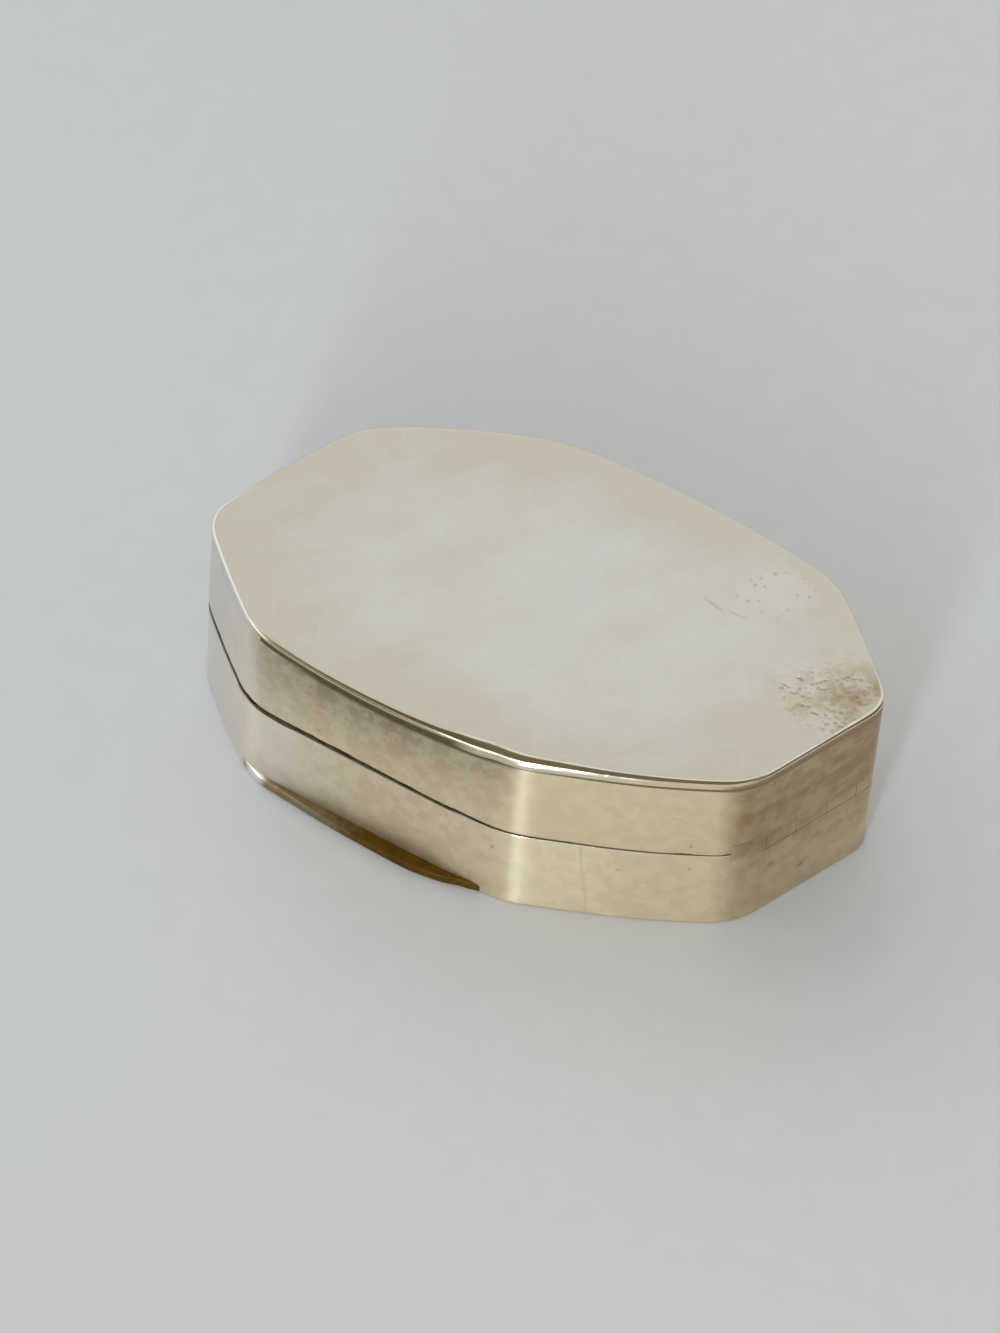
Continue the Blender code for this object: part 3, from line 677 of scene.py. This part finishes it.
def build_materials():
    return {
        "top": silver_top(), "wall": silver_wall(), "edge": silver_edge(), "foot": silver_foot(),
        "gilt": gilding(), "joint": tarnish(), "pin": wire(), "sponge": natural_sponge(),
    }


# Outlines read from the frame
def face_loops(node, height):
    """Closed loops round the flat face that a node has at a height, the longest first."""
    mesh = frame["nodes"][node].data
    ids, spots = {}, []

    def spot(index):
        co = mesh.vertices[index].co
        key = tuple(round(c / MM, 4) for c in co)
        if key not in ids:
            ids[key] = len(spots)
            spots.append(Vector(co.xy))
        return ids[key]

    uses = {}
    for face in mesh.polygons:
        if all(abs(mesh.vertices[v].co.z - height) < SAME_POINT for v in face.vertices):
            corners = [spot(v) for v in face.vertices]
            for a, b in zip(corners, corners[1:] + corners[:1]):
                uses.setdefault(frozenset((a, b)), []).append((a, b))
    follows = {pair[0][0]: pair[0][1] for pair in uses.values() if len(pair) == 1}
    loops = []
    while follows:
        here = next(iter(follows))
        loop = []
        while here in follows:
            loop.append(spots[here])
            here = follows.pop(here)
        loops.append(in_order(loop))
    return sorted(loops, key=lambda loop: -sum((b - a).length for a, b in zip(loop, loop[1:])))


def in_order(loop):
    """A loop counter-clockwise, from the direction of -X."""
    area = sum(a.x * b.y - b.x * a.y for a, b in zip(loop, loop[1:] + loop[:1]))
    if area < 0:
        loop = loop[::-1]
    first = min(range(len(loop)), key=lambda i: math.atan2(loop[i].y, loop[i].x))
    return loop[first:] + loop[:first]


def matched(loop, reference):
    """A loop started at the point that is nearest to the reference's start."""
    first = min(range(len(loop)), key=lambda i: (loop[i] - reference[0]).length)
    return loop[first:] + loop[:first]


def spline(points, steps):
    """Closed smooth curve through points, with fine steps, and its outward normals."""
    p = np.array([tuple(v) for v in points])
    count = len(p)
    run = np.linalg.norm(np.roll(p, -1, 0) - p, axis=1)
    before = np.roll(run, 1)
    system = np.zeros((count, count))
    index = np.arange(count)
    system[index, index] = 2 * (before + run)
    system[index, (index - 1) % count] = before
    system[index, (index + 1) % count] = run
    slope = (np.roll(p, -1, 0) - p) / run[:, None]
    bend = np.linalg.solve(system, 6 * (slope - np.roll(slope, 1, 0)))
    after, bend_after = np.roll(p, -1, 0), np.roll(bend, -1, 0)
    found, ways = [], []
    for i in range(count):
        h = run[i]
        for step in range(steps):
            t = step / steps * h
            left = h - t
            curve = (bend[i] * left**3 + bend_after[i] * t**3) / (6 * h)
            curve += (p[i] / h - bend[i] * h / 6) * left + (after[i] / h - bend_after[i] * h / 6) * t
            found.append(curve)
            turn = (bend_after[i] * t**2 - bend[i] * left**2) / (2 * h)
            ways.append(turn + (after[i] - p[i]) / h - (bend_after[i] - bend[i]) * h / 6)
    ways = np.array(ways)
    ways /= np.linalg.norm(ways, axis=1)[:, None]
    return np.array(found), np.column_stack([ways[:, 1], -ways[:, 0]])


def divided(loop, guide):
    """A loop with points put in where the guide has long sides."""
    points = []
    for i, (a, b) in enumerate(zip(loop, loop[1:] + loop[:1])):
        steps = max(1, math.ceil((guide[(i + 1) % len(guide)] - guide[i]).length / LONG_SIDE))
        points += [a.lerp(b, k / steps) for k in range(steps)]
    return points


def by_station(points, table):
    """Lengths along an outline from a table of stations and lengths in mm."""
    angles = np.degrees(np.arctan2(points[:, 1], points[:, 0]))
    stations = sorted(table)
    return np.interp(angles, stations, [table[s] for s in stations], period=360) * MM


def smooth_share(value, low, high):
    t = np.clip((value - low) / (high - low), 0, 1)
    return t * t * (3 - 2 * t)


def front_bend(loop):
    """The wall's outline with its front bend drawn tighter."""
    moved = []
    for p in loop:
        shift = 0.0
        if p.y < 0:
            for middle, left, right, size in FRONT_BENDS:
                away = p.x / MM - middle
                shift += size * math.exp(-((away / (left if away < 0 else right)) ** 2))
        moved.append(Vector((p.x, p.y + shift * MM)))
    return moved


class Plans:
    """Fine outlines of the walls and sheets, all with the same count and start."""

    def __init__(self):
        wall_outer, wall_inner = face_loops("base_band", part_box("base_band")[0].z)[:2]
        sheet = face_loops("base_plate", 0.0)[0]
        inner = divided(matched(wall_inner, wall_outer), wall_outer)
        low_sheet = divided(matched(sheet, wall_outer), wall_outer)
        self.outer, self.normals = spline(front_bend(divided(wall_outer, wall_outer)), SPLINE_STEPS)
        self.inner, _ = spline(front_bend(inner), SPLINE_STEPS)
        low_sheet, sheet_normals = spline(low_sheet, SPLINE_STEPS)
        round_in = max(v.co.x for v in frame["nodes"]["base_plate"].data.vertices) - max(p.x for p in sheet)
        wide = low_sheet + sheet_normals * round_in
        ledge = ((wide - self.outer) * self.normals).sum(axis=1)
        left = ledge - FILED[0] * MM
        left = (left + np.sqrt(left**2 + (FILED[1] * MM) ** 2)) / 2
        self.kept = smooth_share(left / MM, *LEDGE)
        self.ledge = left
        self.sheet = self.outer + self.normals * left[:, None]
        foot = left * self.kept + by_station(self.sheet, FOOT_BULGE)
        self.foot = self.outer + self.normals * foot[:, None]
        self.thickness = float(np.linalg.norm(self.outer[0] - self.inner[0]))


def lid_tilt():
    """Angle that the lid rests open by, from its top face."""
    mesh = frame["nodes"]["lid_plate"].data
    top = max((f for f in mesh.polygons if f.normal.z > NEARLY_LEVEL), key=lambda f: f.area)
    return math.acos(min(1.0, top.normal.z))


def about_hinge(angle):
    turn = Matrix.Rotation(angle, 4, HINGE_AXIS)
    return Matrix.Translation(HINGE_POINT) @ turn @ Matrix.Translation(-HINGE_POINT)


# Meshes
def new_object(name, data):
    obj = bpy.data.objects.new(name, data)
    bpy.context.scene.collection.objects.link(obj)
    return obj


def smooth(mesh, edge):
    """Smooth shading, but for edges that turn by more than an angle in degrees."""
    mesh.shade_smooth()
    mesh.set_sharp_from_angle(angle=math.radians(edge))


def write_values(mesh, name, values):
    mesh.attributes.new(name, "FLOAT", "POINT").data.foreach_set("value", values)


def mesh_piece(name, verts, faces, materials, slots=None):
    mesh = bpy.data.meshes.new(name)
    mesh.from_pydata([tuple(v) for v in verts], [], faces)
    for made in materials:
        mesh.materials.append(made)
    if slots is not None:
        mesh.polygons.foreach_set("material_index", np.array(slots, np.int32))
    mesh.update()
    mesh.shade_smooth()
    return new_object(name, mesh)


def loft(rows, row_slots, ring):
    """Points and faces of a skin over rows of points. A ring joins its last row to its first."""
    count = len(rows[0])
    faces, slots = [], []
    for r in range(len(rows) if ring else len(rows) - 1):
        low, high = r * count, ((r + 1) % len(rows)) * count
        for i in range(count):
            j = (i + 1) % count
            faces.append((low + i, low + j, high + j, high + i))
            slots.append(row_slots[r])
    return np.concatenate(rows), faces, slots


def quarter(start, steps):
    """Angles of a quarter turn, without its last."""
    return [start + math.pi / 2 * k / steps for k in range(steps)]


def wall_profile(low, high, wall, foot):
    """Cross-section of a wall: share of its thickness, height and material.

    The materials are outside, inside, flat ends, and roundings.
    """
    r = LIP_ROUND if foot else BASE_LIP_ROUND
    lip = r / wall
    turns = quarter(0, LIP_STEPS)
    low_r = r if foot else CRISP
    span = high - low - r - low_r
    profile = []
    if foot:
        profile += [(lip * (1 - math.sin(a)), low + r * (1 - math.cos(a)), 3) for a in turns]
    else:
        profile.append((0.0, low, 0))
    profile += [(0.0, low + low_r + span * k / WALL_ROWS, 0) for k in range(WALL_ROWS)]
    profile += [(lip * (1 - math.cos(a)), high - r * (1 - math.sin(a)), 3) for a in turns]
    profile.append((lip, high, 2))
    profile += [(1 - lip * (1 - math.sin(a)), high - r * (1 - math.cos(a)), 1) for a in turns]
    profile += [(1.0, high - r - span * k / INNER_ROWS, 1) for k in range(INNER_ROWS)]
    if foot:
        profile += [(1 - lip * (1 - math.cos(a)), low + r * (1 - math.sin(a)), 1) for a in turns]
    profile.append((1 - lip if foot else 1.0, low, 2))
    return profile


def seam_wear(points, seed):
    """Depth of the chips and dents in a wall's lip."""
    found = [noise.noise(Vector((x, y, seed * MM)) / MM * WEAR_SCALE) for x, y in points]
    even = smooth_share(points[:, 0] / MM, *LIP_END_X) if seed == BASE_SEED else 0.0
    return SEAM_WEAR * np.maximum(0.0, np.array(found) - LEAST_WEAR) * (1 - even)


def build_wall(name, plans, low, high, mats, foot):
    """A foot is the lower lip of the lid's wall, and the base's lip is at its top."""
    rows, slots = [], []
    wear = seam_wear(plans.outer, LID_SEED if foot else BASE_SEED)
    for share, height, slot in wall_profile(low, high, plans.thickness, foot):
        flat = plans.outer + (plans.inner - plans.outer) * share
        heights = np.full(len(flat), height)
        if foot and height < low + ON_LIP * LIP_ROUND:
            heights += wear * (1 - share)
        if not foot and height > high - ON_LIP * BASE_LIP_ROUND:
            heights -= wear * (1 - share)
        rows.append(np.column_stack([flat, heights]))
        slots.append(slot)
    verts, faces, face_slots = loft(rows, slots, True)
    return mesh_piece(name, verts, faces, mats, face_slots)


def note_ledge(obj, plans):
    """Writes how far the sheet stands out over each point of a wall."""
    spots = [np.array(v.co.xy) for v in obj.data.vertices]
    near = [int(np.argmin(((plans.outer - spot) ** 2).sum(axis=1))) for spot in spots]
    write_values(obj.data, "ledge", plans.ledge[near].astype(np.float32))


def edge_rows(flat, normals, insets, drops, start, corner):
    """Rows of points round one edge of a sheet, from start for a quarter turn."""
    rows = []
    for a in quarter(start, EDGE_ROWS):
        inset = (insets * (1 - math.cos(a)))[:, None]
        rows.append(np.column_stack([flat - normals * inset, corner + drops * math.sin(a)]))
    return rows


def build_sheet(name, flat, normals, kept, dark, span, under, over, drop, mats, dish=0.0):
    """Sheet with its own rounding under and over its edge, and broad faces of rings round the middle.

    The materials are the top, the underside, its dark rim, the edge, and where the sheet is flush.
    """
    low, high = span
    count = len(flat)
    rows, slots = [], []
    under_plan = flat - normals * under[:, None]
    over_plan = flat - normals * over[:, None]
    sizes = [INNERMOST + (1 - INNERMOST) * k / TOP_RINGS for k in range(TOP_RINGS + 1)]
    inner_plan = under_plan - normals * RIM_UNDER
    for size in sizes:
        rows.append(np.column_stack([inner_plan * size, np.full(count, low)]))
        slots.append(1 if size < 1 else 2)
    rows += edge_rows(flat, normals, under, under, -math.pi / 2, low + under)
    upright = (low + under, low + under + CRISP, high - drop - CRISP)
    rows += [np.column_stack([flat, heights]) for heights in upright]
    rows += edge_rows(flat, normals, over, drop, 0.0, high - drop)
    slots += [UNDER_EDGE] * EDGE_ROWS + [4] * len(upright) + [3] * EDGE_ROWS
    for size in reversed(sizes):
        rows.append(np.column_stack([over_plan * size, np.full(count, high - dish * (1 - size**2) ** 2)]))
        slots.append(0)
    verts, faces, face_slots = loft(rows, slots, False)
    for i, slot in enumerate(face_slots):
        if slot == UNDER_EDGE:
            face_slots[i] = 2 if dark[i % count] else 4
        if slot == 4 and kept[i % count] > 0.5:
            face_slots[i] = 3
    last = len(rows) * count
    faces += [tuple(reversed(range(count))), tuple(range(last - count, last))]
    obj = mesh_piece(name, verts, faces, mats, face_slots + [1, 0])
    rimward = [1.0] * (len(rows) - TOP_RINGS - 1) + list(reversed(sizes))
    write_values(obj.data, "rimward", np.repeat(np.array(rimward, np.float32), count))
    return obj


def evaluated_mesh(obj):
    bpy.context.view_layer.update()
    graph = bpy.context.evaluated_depsgraph_get()
    return bpy.data.meshes.new_from_object(obj.evaluated_get(graph))


def applied(obj):
    """Puts what an object's modifiers make into its mesh."""
    mesh = evaluated_mesh(obj)
    obj.modifiers.clear()
    obj.data = mesh
    return obj


def cut(obj, other, operation="DIFFERENCE"):
    made = obj.modifiers.new("cut", "BOOLEAN")
    configure(made, operation=operation, solver="EXACT", material_mode="TRANSFER", object=other)
    return applied(obj)


def cylinder(name, radius, start, end, made):
    """Round bar on the lid hinge's axis."""
    bm = bmesh.new()
    bmesh.ops.create_cone(
        bm, cap_ends=True, segments=TUBE_STEPS, radius1=radius, radius2=radius, depth=end - start
    )
    turn = HINGE_AXIS.to_track_quat("Z", "X").to_matrix().to_4x4()
    middle = HINGE_POINT + HINGE_AXIS * (start + end) / 2
    bmesh.ops.transform(bm, matrix=Matrix.Translation(middle) @ turn, verts=bm.verts)
    mesh = bpy.data.meshes.new(name)
    bm.to_mesh(mesh)
    bm.free()
    mesh.materials.append(made)
    return new_object(name, mesh)


def stand_for(obj, body, slot, *nodes):
    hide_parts(*nodes)
    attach(obj, body)


def along_hinge(node):
    """Extent of a node along the hinge's axis, and its radius."""
    along, radius = [], 0.0
    for v in frame["nodes"][node].data.vertices:
        step = (v.co - HINGE_POINT).dot(HINGE_AXIS)
        along.append(step)
        radius = max(radius, (v.co - HINGE_POINT - HINGE_AXIS * step).length)
    return min(along), max(along), radius


def build_tubes(plans, tilt, mats):
    """Tubes and pin of the lid's hinge, filed flush with the wall. Gives the bar that cuts their groove."""
    spans = {name: along_hinge(name) for name in frame["nodes"] if "_knuckle_" in name}
    starts, ends, radii = zip(*spans.values())
    first, last = min(starts), max(ends)
    inside = first + PIN_SHORT, last - PIN_SHORT
    rest = {"base": Matrix(), "lid": about_hinge(tilt)}
    count = len(plans.outer)
    rows = [np.column_stack([plans.outer, np.full(count, z)]) for z in (-MM, CAD_BOX[1].z)]
    verts, faces, _ = loft(rows, [0, 0], False)
    faces += [tuple(reversed(range(count))), tuple(range(count, 2 * count))]
    for name, (start, end, radius) in spans.items():
        body = name.split("_")[0]
        trim = mesh_piece("trim", verts, faces, [mats["wall"]])
        trim.data.transform(rest[body])
        longer = start - TUBE_LONG, end + TUBE_LONG
        tube = cylinder(name.replace("knuckle", "hinge_tube"), radius, *longer, mats["wall"])
        cut(tube, trim, "INTERSECT")
        bore = cylinder("bore", TUBE_BORE, *inside, mats["joint"])
        cut(tube, bore)
        for helper in (trim, bore):
            bpy.data.objects.remove(helper)
        smooth(tube.data, TUBE_EDGE)
        stand_for(tube, body, "silver", name)
    pin = cylinder("hinge_wire", along_hinge("lid_hinge_pin")[2], *inside, mats["pin"])
    smooth(pin.data, TUBE_EDGE)
    stand_for(pin, "base", "pin_silver", "lid_hinge_pin")
    groove = first - TUBE_PLAY, last + TUBE_PLAY
    return cylinder("hinge_groove", max(radii) + TUBE_PLAY, *groove, mats["wall"])


def heights_of(node, matrix):
    heights = [(matrix @ v.co).z for v in frame["nodes"][node].data.vertices]
    return min(heights), max(heights)


def build_base(plans, groove, mats):
    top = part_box("base_band")[1].z
    sheet_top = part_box("base_plate")[1].z
    wall_mats = [mats[key] for key in ("wall", "gilt", "joint", "edge")]
    wall = build_wall("base_wall", plans, sheet_top, top, wall_mats, False)
    cut(wall, groove)
    stand_for(wall, "base", "silver", "base_band")
    under = np.full(len(plans.foot), FOOT_UNDER_ROUND)
    over = FOOT_OVER_ROUND[0] + (FOOT_OVER_ROUND[1] - FOOT_OVER_ROUND[0]) * plans.kept
    over = np.maximum(over, by_station(plans.foot, FOOT_SHOULDER))
    # Where the sheet stands out it takes the foot's dark colour: tarnish and a painted dark reflection.
    foot = np.maximum(plans.kept, np.abs(plans.foot - plans.outer).sum(axis=1) > LEAST_FOOT)
    sheet_mats = [mats[key] for key in ("foot", "wall", "foot", "foot", "wall")]
    sheet = build_sheet(
        "base_sheet", plans.foot, plans.normals, foot, foot > 0.5, (0.0, sheet_top), under, over, over,
        sheet_mats,
    )
    stand_for(sheet, "base", "silver", "base_plate")


def build_lid(plans, tilt, groove, mats):
    """Built level, and then tipped to where the lid rests."""
    flat, rest = about_hinge(-tilt), about_hinge(tilt)
    low, _ = heights_of("lid_band", flat)
    span = heights_of("lid_plate", flat)
    wall_mats = [mats[key] for key in ("wall", "gilt", "joint", "wall")]
    wall = build_wall("lid_wall", plans, low, span[0], wall_mats, True)
    cut(wall, groove)
    note_ledge(wall, plans)
    wall.data.transform(rest)
    stand_for(wall, "lid", "silver", "lid_band")
    under = by_station(plans.sheet, UNDER_ROUND)
    over, drop = by_station(plans.sheet, TOP_ROUND), by_station(plans.sheet, TOP_DROP)
    sheet_mats = [mats[key] for key in ("top", "gilt", "joint", "edge", "wall")]
    # Under the overhang the rounding gets the dark joint material: tarnish and a painted shadow.
    sheet = build_sheet(
        "lid_sheet", plans.sheet, plans.normals, plans.kept, under > DARK_UNDER, span, under, over, drop,
        sheet_mats, DISH,
    )
    sheet.data.transform(rest)
    stand_for(sheet, "lid", "silver", "lid_plate")


def build_shells(mats):
    plans = Plans()
    tilt = lid_tilt()
    groove = build_tubes(plans, tilt, mats)
    build_base(plans, groove, mats)
    build_lid(plans, tilt, groove, mats)
    bpy.data.objects.remove(groove)


def oval(loop):
    """Smooth oval through a hole's corners: it has their middle and their axes."""
    p = np.array([tuple(v) for v in loop])
    middle = p.mean(axis=0)
    spread, axes = np.linalg.eigh(np.cov((p - middle).T, bias=True))
    halves = np.sqrt(2 * spread)
    turns = [2 * math.pi * k / HOLE_POINTS for k in range(HOLE_POINTS)]
    first, second = (axes * halves).T
    return [middle + first * math.cos(t) + second * math.sin(t) for t in turns]


def pierced_mesh(lines, thickness):
    """Mesh of a filled flat outline with holes, its edges bevelled."""
    data = bpy.data.curves.new("pierced_sheet", "CURVE")
    configure(data, dimensions="2D", fill_mode="BOTH", extrude=thickness / 2 - SHEET_BEVEL)
    configure(data, bevel_depth=SHEET_BEVEL, bevel_resolution=BEVEL_STEPS, offset=-SHEET_BEVEL)
    for points in lines:
        line = data.splines.new("POLY")
        line.points.add(len(points) - 1)
        for target, p in zip(line.points, points):
            target.co = (p[0], p[1], 0, 1)
        line.use_cyclic_u = True
    curve = new_object("pierced_sheet_curve", data)
    mesh = evaluated_mesh(curve)
    bpy.data.objects.remove(curve)
    mesh.materials.clear()
    smooth(mesh, GRILLE_EDGE)
    return mesh


def build_grille(mats):
    low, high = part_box("grille_plate")
    loops = face_loops("grille_plate", high.z)
    outline, _ = spline(loops[0], OUTLINE_STEPS)
    mesh = pierced_mesh([outline] + [oval(loop) for loop in loops[1:]], high.z - low.z)
    mesh.transform(Matrix.Translation((0, 0, (low.z + high.z) / 2)))
    mesh.materials.append(mats["gilt"])
    sheet = new_object("pierced_sheet", mesh)
    stand_for(sheet, "grille", "gilt", "grille_plate")


def build_sponge(mats):
    """Porous sponge inside its CAD block."""
    sponge = new_object("porous_sponge", frame["nodes"]["sponge"].data.copy())
    configure(sponge.modifiers.new("weld", "WELD"), merge_threshold=SAME_POINT)
    configure(sponge.modifiers.new("remesh", "REMESH"), mode="VOXEL", voxel_size=SPONGE_VOXEL)
    mesh = applied(sponge).data
    normals = [v.normal.copy() for v in mesh.vertices]
    hollows = []
    for v, normal in zip(mesh.vertices, normals):
        large = noise.voronoi(v.co * PORE_SCALE)[0][0]
        small = noise.voronoi(v.co * PORE_SCALE * SMALL_PORES + SMALL_SHIFT)[0][0]
        pore = max(0.0, 1 - large / PORE_SIZE) ** PORE_FALL + SMALL_DEPTH * max(0.0, 1 - small / PORE_SIZE)
        lump = 0.5 + 0.5 * noise.noise(v.co * LUMP_SCALE)
        v.co -= normal * (min(1.0, pore) * PORE_DEPTH + lump * LUMP_DEPTH)
        hollows.append(min(1.0, pore))
    write_values(mesh, "hollow", hollows)
    mesh.materials.clear()
    mesh.materials.append(mats["sponge"])
    mesh.update()
    mesh.shade_smooth()
    stand_for(sponge, "base", "sponge", "sponge")


def finish_nodes(mats):
    """Finishes of the CAD nodes that stay."""
    finishes = {"silver": "wall", "gilt": "gilt", "pin_silver": "pin", "sponge": "sponge"}
    slots = {s["node"]: s["material_slot"] for s in frame["record"]["subparts"]}
    for name, obj in frame["nodes"].items():
        obj.data.materials.clear()
        obj.data.materials.append(mats[finishes[slots[name]]])


# Stage
def build_floor():
    made, shader, where = new_material("floor_paper", Roughness=0.8)
    drift = cloud(where, 18, 3.0)
    fibre = cloud(where, 600, 5.0, 0.6)
    shade = total(stepped(drift, 0.3, 0.7, 0.0, 0.6), stepped(fibre, 0.35, 0.7, 0.0, 0.4))
    x, y, _ = coordinates(where)
    cool = mixed(shade, (0.58, 0.584, 0.585), (0.61, 0.614, 0.615))
    warm = mixed(shade, (0.57, 0.575, 0.545), (0.6, 0.605, 0.575))
    # Painted warm light: the floor turns warmer towards the front right.
    connect(shader, Base_Color=mixed(ramp(less(x, y), FLOOR_WARM_LIGHT), cool, warm))
    bpy.ops.mesh.primitive_plane_add(size=FLOOR_SIZE, location=(0, 0, -FLOOR_GAP))
    floor = bpy.context.object
    floor.name = "floor"
    floor.data.materials.append(made)


def build_lamp(name, azimuth, elevation, distance, size, power, colour):
    data = bpy.data.lights.new(name, "AREA")
    configure(data, shape="RECTANGLE", size=size[0], size_y=size[1], energy=power, color=colour)
    lamp = new_object(name, data)
    way = direction(azimuth, elevation)
    lamp.location = way * distance
    lamp.rotation_euler = way.to_track_quat("Z", "Y").to_euler()


def room_patch(where, azimuth, elevation, inner, outer):
    """One inside a round patch of the surroundings, and nothing outside it."""
    near = reach(where, direction(azimuth, elevation))
    return stepped(near, math.cos(math.radians(outer)), math.cos(math.radians(inner)))


def surroundings(where, low, high, parts):
    """Shade from the horizon to overhead, with round parts of other colours."""
    colour = mixed(stepped(coordinates(where)[2], 0.0, 1.0), low, high)
    for place, part in parts:
        colour = mixed(room_patch(where, *place), colour, part)
    return colour


def build_world():
    """Soft light, strongest from the back, and for reflections a room that is darker at the camera."""
    world = bpy.data.worlds.new("studio")
    bpy.context.scene.world = world
    world.use_nodes = True
    tree = world.node_tree
    where = add("TexCoord", tree=tree).outputs["Generated"]
    sky = surroundings(where, (0.56, 0.56, 0.55), (0.675, 0.675, 0.665), SKY_PARTS)
    room = surroundings(where, (0.82, 0.825, 0.83), (1.0, 1.0, 1.0), ROOM_PARTS)
    seen = add("LightPath", tree=tree).outputs
    shiny = highest(seen["Is Glossy Ray"], seen["Is Camera Ray"])
    connect(tree.nodes["Background"], Color=mixed(shiny, sky, room))


def build_camera():
    data = bpy.data.cameras.new("camera")
    camera = new_object("camera", data)
    bpy.context.scene.camera = camera
    data.sensor_width = SENSOR
    data.lens = FOCAL_PIXELS / IMAGE_HEIGHT * SENSOR
    data.shift_x = -CENTRE_SHIFT_PIXELS[0] / IMAGE_HEIGHT
    data.shift_y = CENTRE_SHIFT_PIXELS[1] / IMAGE_HEIGHT
    data.clip_start = CLIP_START
    back = direction(CAMERA_AZIMUTH, CAMERA_ELEVATION)
    right = direction(CAMERA_AZIMUTH + 90, 0)
    up = back.cross(right)
    turned = right * math.cos(CAMERA_ROLL) + up * math.sin(CAMERA_ROLL)
    upward = up * math.cos(CAMERA_ROLL) - right * math.sin(CAMERA_ROLL)
    matrix = Matrix((turned, upward, back)).transposed().to_4x4()
    camera.matrix_world = Matrix.Translation(CAMERA_TARGET + back * CAMERA_DISTANCE) @ matrix


def build_stage():
    build_floor()
    build_world()
    build_camera()
    build_lamp("window", *WINDOW)
    bpy.context.scene.view_settings.view_transform = "Standard"


materials = build_materials()
finish_nodes(materials)
build_shells(materials)
build_grille(materials)
build_sponge(materials)
build_stage()
